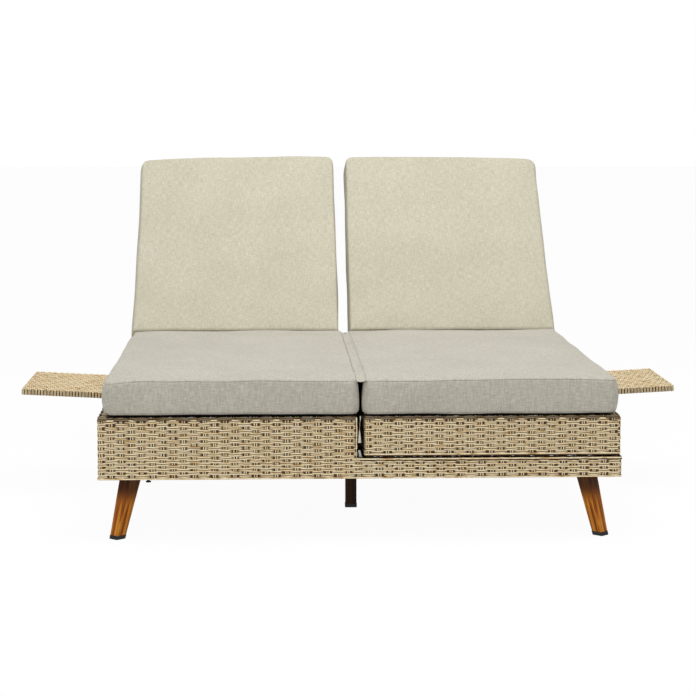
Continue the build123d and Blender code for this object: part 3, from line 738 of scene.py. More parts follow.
class WovenBlock(WovenWall):
    """A wall with its stakes and its rim."""

    def stake_pairs(self, bottom, top, keep=None, slot=None, bent=True):
        """Upright strands in pairs, bent over the rim at the top or ending there."""
        wall = self.outer
        for stake in range(self.stakes):
            middle = (stake + stake_start_share) / self.stakes
            middle += self.bundle.random.normal() * 0.5 * stake_wander / wall.length
            for sign in (-1, 1):
                share = np.array([middle + sign * stake_pair_offset / wall.length])
                point, out = wall.at(share)
                if keep is not None and not keep(point)[0]:
                    continue
                self.stake(point[0], out[0], bottom, top, slot, bent)

    def stake(self, point, out, bottom, top, slot, bent):
        """One upright strand, in one length or cut by a slot."""
        random = self.bundle.random
        sideways = np.cross(up, out)
        wall = point - out * skin_depth
        crest = top - rim_drop
        over = [(wall + up * (crest - rim_bend), out),
                (wall + up * crest - (out + up) * rim_bend * bend_share,
                 (out + up) / hypot(1, 1)),
                (wall - out * rim_bend + up * crest, up),
                (wall - out * rim_width + up * crest, up)]
        if not bent:
            over = [(wall + up * top, out)]
        runs = [[(wall + up * bottom, out)] + over]
        if slot and slot["beside"](point[None, :])[0]:
            runs = [[(wall + up * bottom, out), (wall + up * slot["low"], out)],
                    [(wall + up * slot["high"], out)] + over]
        for run in runs:
            (foot, look), (head, _) = run[:2]
            between = [(foot + (head - foot) * share, look)
                       for share in np.linspace(0, 1, stake_steps)]
            run = between + run[2:]
            centre = np.array([place for place, _ in run])
            looks = np.array([look for _, look in run])
            bends = random.normal(size=len(run)) * stake_sway
            centre += np.outer(bends + random.normal() * stake_shift, sideways)
            self.bundle.add(centre, looks, sideways, stake_strand_width)

    def rim(self, top, number, rows=2, dark=0.9, keep=None, innermost=None):
        """A row on the bend, rows that lie on the rim, and one more where innermost says so, all with shade
        painted as deep as dark says.
        """
        on_bend = BlockOutline(self.low, self.high, bend_share * rim_bend)
        self.row(on_bend, top - bend_share * rim_bend, number, pi / 4, dark, keep)
        for step in range(rows + (innermost is not None)):
            inset = skin_depth + rim_bend + rim_pitch * step
            line = BlockOutline(self.low, self.high, inset)
            self.row(line, top - rim_row_drop, number + step + 1, pi / 2, dark,
                     keep if step < rows else innermost)


print("stakes bend over the rim in", rim_bend / mm, "mm")

# %% [markdown]
# ## Weave the base and the left block
#
# The lowest six rows run round the whole base. Above them the left block stands by itself, with
# an inner wall along the gap. The right half of the low rail ends in a rim of its own, where the
# right place stands on it. Each side wall has a slot that its tray slides through, and an upright
# pair of strands binds each end of the slot.

# %% Find the slots of the trays
tray_boxes = {side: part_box(f"{side}_tray_weave") for side in side_signs}
tray_top = rim_top - 30 * mm
tray_body = 18.5 * mm
slot_room = 3 * mm
slot_play = 2.6 * mm
binding_width = 10 * mm
binding_clearance = 1.0 * mm
binding_depth = 0.9 * mm
binding_steps = 7
back_margin = 40 * mm


def tray_slot(side, wall_x):
    """The opening in a side wall that its tray slides through."""
    low, high = tray_boxes[side]

    def beside(points):
        in_reach = (points[:, 1] > low.y - slot_play) & (points[:, 1] < high.y + slot_play)
        return in_reach & (np.abs(points[:, 0] - wall_x) < corner_radius)

    return {"low": tray_top - tray_body - slot_room, "high": tray_top + slot_room,
            "beside": beside}


def bind_slot(bundle, side, wall_x):
    """Bind both ends of a slot with a pair of upright strands, so that no row's end shows."""
    sign = side_signs[side]
    low, high = tray_boxes[side]
    levels = np.linspace(slots[side]["low"] - row_pitch, slots[side]["high"] + row_pitch,
                         binding_steps)
    for edge, way in ((low.y, -1), (high.y, 1)):
        y = edge + way * (binding_clearance + binding_width / 2)
        centre = [(wall_x - sign * binding_depth, y, level) for level in levels]
        bundle.add(centre, (sign, 0, 0), (0, sign, 0), binding_width, section=pair_section)


def before_backs(points):
    """The stretch of a rim that a seat cushion lies on, ahead of the hinge."""
    return points[:, 1] < hinge_y - back_margin


slots = {"left": tray_slot("left", -half_width), "right": tray_slot("right", module_high.x)}
print("slots from", round(slots["left"]["low"] / mm), "to", round(slots["left"]["high"] / mm))

# %% Weave the low rail round the base
low_rows = 6
low_pitch = row_pitch - 0.75 * mm
border_sink = 1.4 * mm
low_border_sink = 1.2 * mm
stake_foot = 1 * mm
rail_top = rail_high.z
first_row = apron_bottom + border_width + row_pitch * 0.45


def right_half(points):
    """Where the low rail carries the right place."""
    return points[:, 0] > inner_gap - 2 * mm


def left_half(points):
    """Where the left block goes on up."""
    return ~right_half(points)


low_bundle = StrandBundle(seed=11)
low_wall = WovenBlock(low_bundle, (-half_width, front), (half_width, rear))
for number in range(low_rows):
    low_wall.row(low_wall.outer, first_row + number * low_pitch, number)
low_wall.border(apron_bottom + 0.45 * border_width, -low_border_sink)
low_wall.stake_pairs(apron_bottom + stake_foot, rail_top, keep=right_half)
low_wall.stake_pairs(apron_bottom + stake_foot, rail_top, keep=left_half, bent=False)
# The low rail's rim is painted in full shade, so the gap under the right place reads dark.
low_wall.rim(rail_top, 1, rows=5, dark=1.0, keep=right_half)
low_wall.border(rail_top - 0.5 * border_width, -border_sink, keep=right_half)
low_weave = low_bundle.build("base_low_weave")
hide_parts("low_rail_weave")
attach(low_weave, "base")

# %% Weave the left block
left_bundle = StrandBundle(seed=12)
left_wall = WovenBlock(left_bundle, (-half_width, front), (inner_gap, rear))
left_first = first_row + low_rows * low_pitch
left_rows = 12
top_row = rim_top - rim_drop - rim_bend - 1 * mm
corner_rise = 82 * mm
corner_steps = 9
corner_sway = 0.5 * mm
corner_width = 5 * mm

left_pitch = (top_row - left_first) / (left_rows - 1)
for number in range(left_rows):
    left_wall.row(left_wall.outer, left_first + number * left_pitch, low_rows + number,
                  slot=slots["left"])
left_wall.stake_pairs(left_first - row_pitch / 2, rim_top, slot=slots["left"])
left_wall.rim(rim_top, low_rows + left_rows, innermost=before_backs)
bind_slot(left_bundle, "left", -half_width)
# One more upright strand closes the front corner at the gap.
corner_strand = np.array([
    (inner_gap - corner_radius * 0.55, front - 0.2 * mm, z)
    for z in np.linspace(apron_bottom + corner_rise, rim_top - 1 * mm, corner_steps)])
corner_strand[:, 0] += corner_sway * np.sin(corner_strand[:, 2] * 90)
left_bundle.add(corner_strand, (0.35, -0.94, 0), (0.94, 0.35, 0), corner_width)
left_weave = left_bundle.build("left_block_weave")
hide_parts("left_front_weave", "left_rear_weave", "left_inner_weave",
            "left_side_weave")
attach(left_weave, "base")

# %% [markdown]
# ## Weave the right place
#
# The right place is a separate frame, so its weave is a block of its own that lifts off with it.

# %% Weave the right block
right_rows = 11
module_stake_foot = 3 * mm
right_bundle = StrandBundle(seed=13)
module_rear = rear - (front - module_low.y) - 4.5 * mm
right_wall = WovenBlock(right_bundle, (module_low.x, module_low.y),
                        (module_high.x, module_rear))
right_first = module_bottom + border_width + row_pitch * 0.6
right_pitch = (top_row - right_first) / (right_rows - 1)
for number in range(right_rows):
    right_wall.row(right_wall.outer, right_first + number * right_pitch, number + 1,
                   slot=slots["right"])
right_wall.border(module_bottom + 1.05 * border_width, -border_sink)
right_wall.stake_pairs(module_bottom + module_stake_foot, rim_top, slot=slots["right"])
right_wall.rim(rim_top, right_rows + 1, innermost=before_backs)
bind_slot(right_bundle, "right", module_high.x)
right_weave = right_bundle.build("right_block_weave")
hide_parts("right_front_weave", "right_rear_weave", "right_inner_weave",
            "right_side_weave")
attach(right_weave, "right_seat")

# %% [markdown]
# ## Weave the trays
#
# A tray is a steel frame with weave stretched over it. Its rows run front to rear and turn down
# over the front and rear edges, where they show as upright strands. Stakes run across. The tray is
# drawn level and then tilted by 3 degrees, as it stands.

# %% Lay the rows of a tray
tray_rise = radians(3)
tray_reach = 277 * mm
tray_length = 310 * mm
tray_drop = 17 * mm
tray_pitch = 9.4 * mm
tray_corner = 9 * mm
tray_swing = 1.1 * mm
tray_skin = 1.7 * mm
tray_rows = round(tray_length / tray_pitch)
tray_end_share = 0.78
tray_row_share = 0.97
tray_row_wander = 0.2
tray_end_gap = 2.5 * mm
tray_edge_sink = 0.8 * mm

# A row's end as it turns down: distance inwards, distance down, and its outward and upward look.
tray_fold = ((2 * mm, tray_drop + 1 * mm, 1, 0), (0, tray_drop - 1.5 * mm, 1, 0),
             (0, 3.2 * mm, 1, 0), (0.8 * mm, 1.4 * mm, 0.7, 0.7))


def tray_row(bundle, number, outer, low, high, stakes):
    """One row from the front edge to the rear edge, turned down over both."""
    x = outer - tray_length * (number + 0.5) / tray_rows
    near = max(tray_corner - (outer - x), 0.0)
    corner_cut = tray_corner - np.sqrt(max(tray_corner ** 2 - near ** 2, 0.0))
    start, end = low.y + corner_cut, high.y - corner_cut
    y = np.linspace(start + tray_end_gap, end - tray_end_gap, stakes * samples_per_stake + 1)
    phase = np.cos(pi * ((y - low.y) / (high.y - low.y) * stakes + number))
    line = [(x, value, tray_top - tray_skin + tray_swing * p, 0, 0, 1)
            for value, p in zip(y, phase)]
    folds = [[(x, edge - way * inwards, tray_top - down, 0, way * outwards, upwards)
              for inwards, down, outwards, upwards in tray_fold]
             for edge, way in ((start, -1), (end, 1))]
    line = np.array(folds[0] + line + folds[1][::-1], float)
    centre, looks = line[:, :3], line[:, 3:]
    looks /= np.linalg.norm(looks, axis=1)[:, None]
    centre -= looks * tray_edge_sink * (np.abs(looks[:, 1:2]) > 0.9)
    width = np.full(len(centre), tray_pitch * tray_row_share)
    width *= 1 + tray_row_wander * (bundle.random.random(len(centre)) - 0.5)
    width[4:-4] *= 1 + spindle_share * phase
    width[:3] *= tray_end_share
    width[-3:] *= tray_end_share
    # Shade is painted where a row dips under a stake.
    tucked = np.zeros(len(centre))
    tucked[4:-4] = 0.4 - 0.4 * phase
    bundle.add(centre, looks, (1, 0, 0), width, False, tucked, pair_section)


print("a tray has", tray_rows, "rows")

# %% Weave one tray
tray_edge_rows = 2
tray_edge_width = 7.8 * mm
tray_edge_first = 6.2 * mm
tray_edge_pitch = 7.4 * mm
tray_edge_depth = 1.2 * mm
tray_edge_swing = 0.7 * mm
tray_edge_end = 4 * mm


def tray_stake(bundle, y, outer):
    """One stake across a tray, turned down over its outer edge."""
    run = np.array([
        (outer - tray_length, y, tray_top - tray_skin, 0, 0, 1),
        (outer - tray_end_gap, y, tray_top - tray_skin, 0, 0, 1),
        (outer - 0.9 * mm, y, tray_top - 2.6 * mm, 0.7, 0, 0.7),
        (outer - tray_edge_sink, y, tray_top - 4 * mm, 1, 0, 0),
        (outer - tray_edge_sink, y, tray_top - tray_drop, 1, 0, 0)], float)
    looks = run[:, 3:] / np.linalg.norm(run[:, 3:], axis=1)[:, None]
    bundle.add(run[:, :3], looks, (0, 1, 0), stake_strand_width)


def tray_edge_row(bundle, number, outer, low, high, stakes):
    """One row along the outer edge of a tray."""
    level = tray_top - tray_edge_first - number * tray_edge_pitch
    y = np.linspace(low.y + tray_edge_end, high.y - tray_edge_end,
                    stakes * samples_per_stake + 1)
    phase = np.cos(pi * ((y - low.y) / (high.y - low.y) * stakes + 0.5 + number))
    x = outer - tray_edge_depth + tray_edge_swing * phase
    centre = np.stack([x, y, np.full(len(y), level)], axis=1)
    width = tray_edge_width * (1 + spindle_share * phase)
    # Shade is painted where the row dips behind a stake.
    bundle.add(centre, (1, 0, 0), up, width, False, 0.4 - 0.4 * phase, pair_section)


def weave_tray(side):
    """The woven skin of a tray, drawn level on the right and then tilted into place."""
    sign = side_signs[side]
    low, high = tray_boxes[side]
    wall_x = half_width if side == "left" else module_high.x
    outer = wall_x + tray_reach
    bundle = StrandBundle(seed=20 + sign)
    stakes = 2 * round((high.y - low.y) / stake_pitch / 2)
    for number in range(tray_rows):
        tray_row(bundle, number, outer, low, high, stakes)
    for number in range(stakes):
        for pair in (-1, 1):
            y = low.y + (high.y - low.y) * (number + 0.5) / stakes + pair * stake_pair_offset
            tray_stake(bundle, y, outer)
    for number in range(tray_edge_rows):
        tray_edge_row(bundle, number, outer, low, high, stakes)

    def tilt(points):
        run, rise = points[:, 0] - wall_x, points[:, 2] - tray_top
        x = wall_x + run * cos(tray_rise) - rise * sin(tray_rise)
        z = tray_top + run * sin(tray_rise) + rise * cos(tray_rise)
        return np.stack([sign * x, points[:, 1], z], axis=1)

    piece = bundle.build(f"{side}_tray_strands", tilt)
    if sign < 0:
        piece.data.flip_normals()
    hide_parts(f"{side}_tray_weave")
    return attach(piece, f"{side}_tray")


for side in side_signs:
    weave_tray(side)

# %% [markdown]
# ## Weave the backs
#
# Behind each back cushion a woven panel is stretched over the hinged frame. It is drawn lying
# flat and then turned up about the hinge, as the solid was.

# %% Weave one back panel
panel_skin = 2.6 * mm
panel_swing = 1.5 * mm
panel_sway = 0.5 * mm


def turn_about_hinge(points, angle):
    """Turn points about the hinge, up from flat for a positive angle."""
    y, z = points[:, 1] - hinge_y, points[:, 2] - hinge_z
    turned = points.copy()
    turned[:, 1] = hinge_y + y * cos(angle) - z * sin(angle)
    turned[:, 2] = hinge_z + y * sin(angle) + z * cos(angle)
    return turned


def raise_back(points):
    """Turn points of a back from lying flat to the angle that it stands at."""
    return turn_about_hinge(points, rest_angle)


def weave_back(side):
    """The woven panel of a back: rows across it and stakes along it."""
    solid = nodes[f"{side}_back_panel"].data
    corners = turn_about_hinge(np.array([v.co for v in solid.vertices]), -rest_angle)
    low, high = corners.min(0), corners.max(0)
    bundle = StrandBundle(seed=30 + side_signs[side])
    stakes = round((high[0] - low[0]) / stake_pitch)
    pitch = (high[0] - low[0]) / stakes
    middle = high[2] - panel_skin
    rows = round((high[1] - low[1]) / row_pitch)
    x = np.linspace(low[0], high[0], stakes * samples_per_stake + 1)
    for number in range(rows):
        y = low[1] + (high[1] - low[1]) * (number + 0.5) / rows
        phase = np.cos(pi * ((x - low[0]) / pitch + 0.5 + number))
        sway = wander(bundle.random, x / 2, panel_sway)
        centre = np.stack([x, y + sway, middle + panel_swing * phase], axis=1)
        width = row_width * (1 + spindle_share * phase)
        # Shade is painted where the row dips behind a stake.
        bundle.add(centre, up, (0, -1, 0), width, False, 0.5 - 0.5 * phase, pair_section)
    for number in range(stakes):
        for pair in (-1, 1):
            stake_x = low[0] + pitch * (number + 0.5) + pair * stake_pair_offset
            centre = [(stake_x, low[1], middle), (stake_x, high[1], middle)]
            bundle.add(centre, up, (1, 0, 0), stake_strand_width)
    piece = bundle.build(f"{side}_back_strands", raise_back)
    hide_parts(f"{side}_back_panel")
    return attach(piece, f"{side}_back")


for side in side_signs:
    weave_back(side)

# %% [markdown]
# ## Cushions
#
# Each cushion is a slab of foam in a boxed cover: a top panel, a band round the sides and a bottom
# panel, sewn together. Foam pushes the panels out between the seams, so the top is crowned, the
# sides bulge, and the outer side draws in a little between its corners. The mesh starts as a box
# with more lines near its edges and at its seams. Its points are then moved: first the rounded
# edges, then the bulges, then the slope at the end that meets the other cushion, and last a short
# cloth simulation with air pressure inside, which fills the cover as stuffing does.

# %% Draw a box with fine edges
seam_half_width = 1.3 * mm


def graded_steps(low, high, fine, coarse, seams=()):
    """Positions from low to high, with short steps near both ends and three at each seam."""
    edge = np.array([0.0, 0.2, 0.4, 0.6, 0.8, 1.0, 1.35, 1.9]) * fine
    inner_low, inner_high = low + edge[-1], high - edge[-1]
    count = max(int(round((inner_high - inner_low) / coarse)), 2)
    middle = np.linspace(inner_low, inner_high, count + 1)[1:-1]
    steps = np.concatenate([low + edge, middle, (high - edge)[::-1]])
    for seam in seams:
        steps = steps[np.abs(steps - seam) > 1.9 * seam_half_width]
        steps = np.concatenate([steps, seam + np.array([-1, 0, 1]) * seam_half_width])
    return np.sort(steps)


def box_shell(xs, ys, zs):
    """Points and faces on the surface of a box, on a grid of the given positions."""
    sizes = (len(xs), len(ys), len(zs))
    index = {}
    points = []

    def corner(i, j, k):
        if (i, j, k) not in index:
            index[i, j, k] = len(points)
            points.append((xs[i], ys[j], zs[k]))
        return index[i, j, k]

    faces = []
    for axis in range(3):
        a, b = (axis + 1) % 3, (axis + 2) % 3
        for level, flip in ((0, True), (sizes[axis] - 1, False)):
            for p in range(sizes[a] - 1):
                for q in range(sizes[b] - 1):
                    ring = []
                    for da, db in ((0, 0), (1, 0), (1, 1), (0, 1)):
                        place = [0, 0, 0]
                        place[axis], place[a], place[b] = level, p + da, q + db
                        ring.append(corner(*place))
                    faces.append(ring[::-1] if flip else ring)
    return np.array(points), faces


test_points, test_faces = box_shell([0, 1, 2], [0, 1, 2], [0, 1, 2])
print("a box of 2 by 2 by 2 cells has", len(test_points), "points and", len(test_faces), "faces")

# %% [markdown]
# ## Fill a cover
#
# The simulation treats the cover as cloth and blows it up for twenty frames, with no gravity. Real
# foam holds its shape, so no point may move more than a few millimetres.

# %% Blow up a cover with cloth pressure
fill_frames = 20
fill_cap = 4 * mm
cover_cloth = {"quality": 4, "mass": 0.3, "tension_stiffness": 12, "compression_stiffness": 12,
               "shear_stiffness": 6, "bending_stiffness": 1.5, "use_pressure": True,
               "uniform_pressure_force": 4}


def read_points(mesh):
    """A mesh's points as an array."""
    flat = np.empty(len(mesh.vertices) * 3)
    mesh.vertices.foreach_get("co", flat)
    return flat.reshape(-1, 3)


def write_points(mesh, points):
    """Put an array of points back into a mesh."""
    mesh.vertices.foreach_set("co", points.astype(np.float32).ravel())
    mesh.update()


def fill_cover(piece):
    """Inflate a closed cover, moving no point further than the cap."""
    before = read_points(piece.data)
    cloth = piece.modifiers.new("filling", "CLOTH")
    for setting, value in cover_cloth.items():
        setattr(cloth.settings, setting, value)
    cloth.settings.effector_weights.gravity = 0
    cloth.collision_settings.use_collision = False
    scene = bpy.context.scene
    for step in range(1, fill_frames + 1):
        scene.frame_set(step)
    filled = piece.evaluated_get(bpy.context.evaluated_depsgraph_get())
    after = read_points(filled.data)
    piece.modifiers.remove(cloth)
    scene.frame_set(1)
    move = after - before
    distance = np.linalg.norm(move, axis=1)
    move *= np.minimum(1.0, fill_cap / np.maximum(distance, 1e-9))[:, None]
    write_points(piece.data, before + move)
    print(piece.name, "moved by up to", round(float(np.linalg.norm(move, axis=1).max()) / mm, 1))


print("filling moves no point by more than", fill_cap / mm, "mm")

# %% [markdown]
# ## Cut and sew the four cushions
#
# A back cushion is drawn lying flat like a seat, filled, and raised at the end. The ends that meet
# slope by half of the recline, so the two covers touch all the way up. The underside is a black
# non-slip cloth, and the front edge of it curls up from the rim, which leaves a dark line there. The
# black of the underside is partly painted shade: it deepens that line.

# %% Set the cushions' sizes
cushion_thickness = 100 * mm
cushion_bottom = rim_top + 0.3 * mm
top_round = 8 * mm
bottom_round = 11 * mm
plan_round = 27 * mm
soft_corner = {"left": 9 * mm, "right": 4 * mm}
inner_soft_corner = 12 * mm
corner_reach = 60 * mm
corner_sag = {"left": 4 * mm, "right": 1.5 * mm}
sag_reach = 2.4 * corner_reach
rear_draw_in = 8 * mm
rear_draw_reach = 300 * mm
crown = 4 * mm
outer_bulge = 8.5 * mm
inner_bulge = 5.0 * mm
end_bulge = 5 * mm
draw_in = 5 * mm
underside_lift = {"left": 3.5 * mm, "right": 2.5 * mm}
underside_reach = 34 * mm
seam_depth = 1.9 * mm
mitre_gap = 0.6 * mm
mitre_blend = 260 * mm
grid_step = 15 * mm
top_seam_drop = 5 * mm
bottom_seam_rise = 5.5 * mm


def smooth_step(value):
    """0 below 0, 1 above 1, and an even S between."""
    value = np.clip(value, 0, 1)
    return value * value * (3 - 2 * value)


print("the sloping ends lean by", round(mitre_angle * 180 / pi), "degrees")

# %% Say where a cover lies


class Cover:
    """The box that a cushion starts as. mitred_end is 1 if it slopes at the rear, or -1."""

    def __init__(self, side, low, high, mitred_end):
        self.side = side
        self.outwards = side_signs[side]
        self.mitred_end = mitred_end
        self.low, self.high = np.array(low), np.array(high)
        self.middle, self.half = (self.low + self.high) / 2, (self.high - self.low) / 2

    def share(self, points):
        """How far points lie along the box, from 0 to 1."""
        return np.clip((points - self.low) / (self.high - self.low), 0, 1)

    def outer(self, share):
        """How far out points lie: 0 on the inner side of the cushion and 1 on the outer."""
        return share[:, 0] if self.outwards > 0 else 1 - share[:, 0]

    def corner_nearness(self, points, reach):
        """How near points are to the outer and to the inner free corner, from 0 to 1."""
        sides = (self.high[0], self.low[0])
        free_y = self.low[1] if self.mitred_end > 0 else self.high[1]
        at_end = smooth_step(1 - np.abs(points[:, 1] - free_y) / reach)
        return [at_end * smooth_step(1 - np.abs(points[:, 0] - x) / reach)
                for x in sides[::self.outwards]]


def mitre_line(z):
    """How far the sloping end stands back from the hinge at a height."""
    return (z - hinge_z) * tan(mitre_angle) + mitre_gap


print("at the rim the sloping end stands back", round(mitre_line(rim_top) / mm, 1), "mm")

# %% Round the edges and corners of a box


def round_edges(points, cover):
    """Round the edges of a box: larger at the bottom, and softest at the free top corners."""
    local = points - cover.middle
    upward = smooth_step((points[:, 2] - cover.low[2]) / (cover.high[2] - cover.low[2]))
    outer, inner = cover.corner_nearness(points, corner_reach)
    radius = bottom_round + (top_round - bottom_round) * upward
    if cover.mitred_end > 0:
        softer = soft_corner[cover.side] * outer + inner_soft_corner * inner
        radius = radius + upward * softer
    radius = radius[:, None]
    core = np.clip(local, -(cover.half - radius), cover.half - radius)
    rest = local - core
    size = np.linalg.norm(rest, axis=1)[:, None]
    return cover.middle + core + rest * radius / np.maximum(size, 1e-9)


def round_plan(points, cover):
    """Turn the two free upright corners from square to round, seen from above."""
    local = points[:, :2] - cover.middle[:2]
    corner = (np.abs(local) - (cover.half[:2] - plan_round)) / plan_round
    u, v = np.clip(corner[:, 0], 0, 1), np.clip(corner[:, 1], 0, 1)
    free = local[:, 1] * cover.mitred_end < 0
    at_corner = (corner[:, 0] > 0) & (corner[:, 1] > 0) & free
    round_u = u * np.sqrt(1 - v * v / 2)
    round_v = v * np.sqrt(1 - u * u / 2)
    moved = points.copy()
    shift = np.stack([round_u - u, round_v - v], axis=1) * plan_round * np.sign(local)
    moved[at_corner, :2] += shift[at_corner]
    return moved


unit_cover = Cover("right", (-1.0, -1.0, 0.0), (1.0, 1.0, 1.0), 1)
sample = round_plan(np.array([[1.0, -1.0, 0.0]]), unit_cover)
print("a corner at 1, -1 moves to", sample.round(3).tolist())

# %% Bulge the panels


def bulge(points, cover):
    """Push the panels out between their seams, and draw the outer side in at mid-length."""
    share = cover.share(points)
    across, lengthwise, upward = share.T
    outer, outwards = cover.outer(share), cover.outwards
    outer_half = np.clip(2 * outer - 1, 0, 1)
    moved = points.copy()
    crowned = (1 - (2 * across - 1) ** 2) ** 0.6 * (1 - (2 * lengthwise - 1) ** 4) ** 0.6
    moved[:, 2] += crown * crowned * upward ** 2
    belly = np.sin(pi * upward) ** 0.8
    low_belly = np.sin(pi * upward ** 0.55)
    moved[:, 0] += outwards * outer_bulge * belly * outer_half ** 6
    moved[:, 0] -= outwards * inner_bulge * low_belly * np.clip(1 - 2 * outer, 0, 1) ** 6
    if cover.mitred_end > 0:
        near_outer, _ = cover.corner_nearness(points, sag_reach)
        moved[:, 2] -= corner_sag[cover.side] * near_outer * upward
        near_hinge = smooth_step(1 - (cover.high[1] - points[:, 1]) / rear_draw_reach)
        moved[:, 0] -= outwards * rear_draw_in * near_hinge * outer_half ** 2
    moved[:, 0] -= outwards * draw_in * np.sin(pi * lengthwise) ** 2 * outer_half ** 3
    end = 1 - lengthwise if cover.mitred_end > 0 else lengthwise
    moved[:, 1] -= cover.mitred_end * end_bulge * belly * np.clip(2 * end - 1, 0, 1) ** 8
    return moved


print("the outer side bulges by", outer_bulge / mm, "mm and draws in by", draw_in / mm, "mm")

# %% Curl the underside, stretch the backs and ripple the cloth
back_longer = 8 * mm
back_arch = 7 * mm
back_skew = 15 * mm
back_draw_in = {"outer": 8 * mm, "inner": 3 * mm}
stretch_start = 0.35
ripple_waves = 9


def curl_underside(points, box_points, cover):
    """Lift the rim of the underside, as a stuffed cover does over a hard edge."""
    x, y = box_points[:, 0], box_points[:, 1]
    free_gap = (y - cover.low[1]) if cover.mitred_end > 0 else (cover.high[1] - y)
    gap = np.minimum(np.minimum(x - cover.low[0], cover.high[0] - x), free_gap)
    curl = 1 - smooth_step(gap / underside_reach)
    moved = points.copy()
    moved[:, 2] += underside_lift[cover.side] * curl * (1 - cover.share(points)[:, 2]) ** 2
    return moved


def stretch_back(points, cover):
    """The free end of a back cushion: a little longer at its inner corner, and narrower."""
    share = cover.share(points)
    outer = cover.outer(share)
    towards_end = smooth_step((share[:, 1] - stretch_start) / (1 - stretch_start))
    arch = 1 - (2 * outer - 1) ** 2
    moved = points.copy()
    moved[:, 1] += towards_end * (back_longer + back_arch * arch + back_skew * (0.5 - outer))
    inwards = back_draw_in["outer"] * outer - back_draw_in["inner"] * (1 - outer)
    moved[:, 0] -= cover.outwards * towards_end * inwards
    return moved


def ripple(box_points, seed, size):
    """A few long waves added up, as a cover wrinkles slightly over foam."""
    random = np.random.default_rng(seed)
    total = np.zeros(len(box_points))
    for _ in range(ripple_waves):
        wave = random.normal(size=3) * np.array([20, 13, 30])
        total += np.sin(box_points @ wave + random.uniform(0, 2 * pi)) / ripple_waves
    return total * size


print("a back cushion's free end is", (back_longer + back_arch) / mm, "mm longer in the middle")

# %% Take a box through the shapes of a cushion
gap_half = 1.0 * mm


def shape_cover(box_points, cover):
    """Take the points of a box through all the shapes of a cushion."""
    shaped = bulge(round_plan(round_edges(box_points, cover), cover), cover)
    shaped = curl_underside(shaped, box_points, cover)
    if cover.mitred_end < 0:
        shaped = stretch_back(shaped, cover)
    from_hinge = (hinge_y - shaped[:, 1]) * cover.mitred_end
    lean = smooth_step(1 - from_hinge / mitre_blend)
    shaped[:, 1] -= cover.mitred_end * mitre_line(shaped[:, 2]) * lean
    return shaped


def keep_clear(points, cover):
    """Keep a cushion above the rim, on its side of the slope, and out of the gap."""
    points[:, 2] = np.maximum(points[:, 2], cushion_bottom)
    limit = hinge_y - cover.mitred_end * mitre_line(points[:, 2])
    beyond = (points[:, 1] - limit) * cover.mitred_end > 0
    points[beyond, 1] = limit[beyond]
    if cover.mitred_end > 0:
        points[:, 0] = cover.outwards * np.maximum(cover.outwards * points[:, 0], gap_half)


print("no seat cushion comes nearer to the middle than", gap_half / mm, "mm")

# %% Sew, fill and finish a cushion
height_step = 12 * mm
ripple_depth = 2.6 * mm
edge_wave_depth = 4.0 * mm
touch = 1e-6


def make_cushion(name, cover, cloth, seed):
    """A filled, sewn cushion lying flat."""
    low, high = cover.low, cover.high
    seams = (high[2] - top_seam_drop, low[2] + bottom_seam_rise)
    xs, ys = [graded_steps(low[a], high[a], bottom_round, grid_step) for a in (0, 1)]
    zs = graded_steps(low[2], high[2], bottom_round, height_step, seams)
    box_points, faces = box_shell(xs, ys, zs)
    piece = new_piece(name, shape_cover(box_points, cover).tolist(), faces, cloth)
    mesh = piece.data
    mesh.materials.append(underside_cloth)
    for face, corners in enumerate(faces):
        mesh.polygons[face].material_index = int(box_points[corners, 2].max() < low[2] + touch)
    plan = box_points[:, :2]
    on_band = (np.minimum(np.abs(plan - low[:2]), np.abs(plan - high[:2])) < touch).any(axis=1)
    on_seam = on_band & (np.abs(box_points[:, 2:] - np.array(seams)) < 0.1 * mm).any(axis=1)
    tag_points(piece, "cloth", box_points)
    tag_points(piece, "seam", on_seam)
    fill_cover(piece)

    filled = read_points(mesh)
    normals = np.array([v.normal for v in mesh.vertices])
    filled += normals * ripple(box_points, seed, ripple_depth)[:, None]
    edge_wave = ripple(box_points * np.array([1, 1, 0]), seed + 50, edge_wave_depth)
    filled[:, 2] += edge_wave * cover.share(box_points)[:, 2]
    filled[on_seam] -= normals[on_seam] * seam_depth
    keep_clear(filled, cover)
    write_points(mesh, filled)
    smooth = piece.modifiers.new("smooth", "SUBSURF")
    smooth.levels = smooth.render_levels = 1
    apply_modifiers(piece)
    return piece


print("seams are pressed in by", seam_depth / mm, "mm")

# %% Make the seat and back cushions
seat_inner = 6.5 * mm
seat_outer = {"left": 681 * mm, "right": 686 * mm}
back_inner, back_outer = 16 * mm, 679 * mm
seat_front = front + 6 * mm
back_end = rear - 4 * mm


def place_cushion(piece, side, kind):
    """Hide the solid that a cushion stands for, and bake the cushion's placement into its points."""
    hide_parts(f"{side}_{kind}_cushion")
    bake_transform(piece)


top = cushion_bottom + cushion_thickness
for side, sign in side_signs.items():
    xs = sorted((sign * seat_inner, sign * seat_outer[side]))
    seat_box = Cover(side, (xs[0], seat_front, cushion_bottom), (xs[1], hinge_y, top), 1)
    seat = make_cushion(f"{side}_seat_pad", seat_box, seat_cloth, 40 + sign)
    place_cushion(seat, side, "seat")
    xs = sorted((sign * back_inner, sign * back_outer))
    back_box = Cover(side, (xs[0], hinge_y, cushion_bottom), (xs[1], back_end, top), -1)
    back = make_cushion(f"{side}_back_pad", back_box, back_cloth, 60 + sign)
    write_points(back.data, raise_back(read_points(back.data)))
    place_cushion(back, side, "back")
    print(side, "cushions have", len(seat.data.vertices), "and", len(back.data.vertices), "points")

# %% [markdown]
# ## The strip over the gap
#
# A strip of the same cloth is sewn to the right seat cushion and lies over the gap, so that nothing
# falls between the two places. It could be simulated as cloth, but a narrow strip that rests on
# both sides is simpler to lay: a ray cast down from each of its points finds the cushion below,
# and between the two the strip dips a little. Both its edges are stitched.

# %% Find the cushions' tops
supports = [BVHTree.FromObject(bpy.data.objects[f"{side}_seat_pad"],
                               bpy.context.evaluated_depsgraph_get()) for side in side_signs]


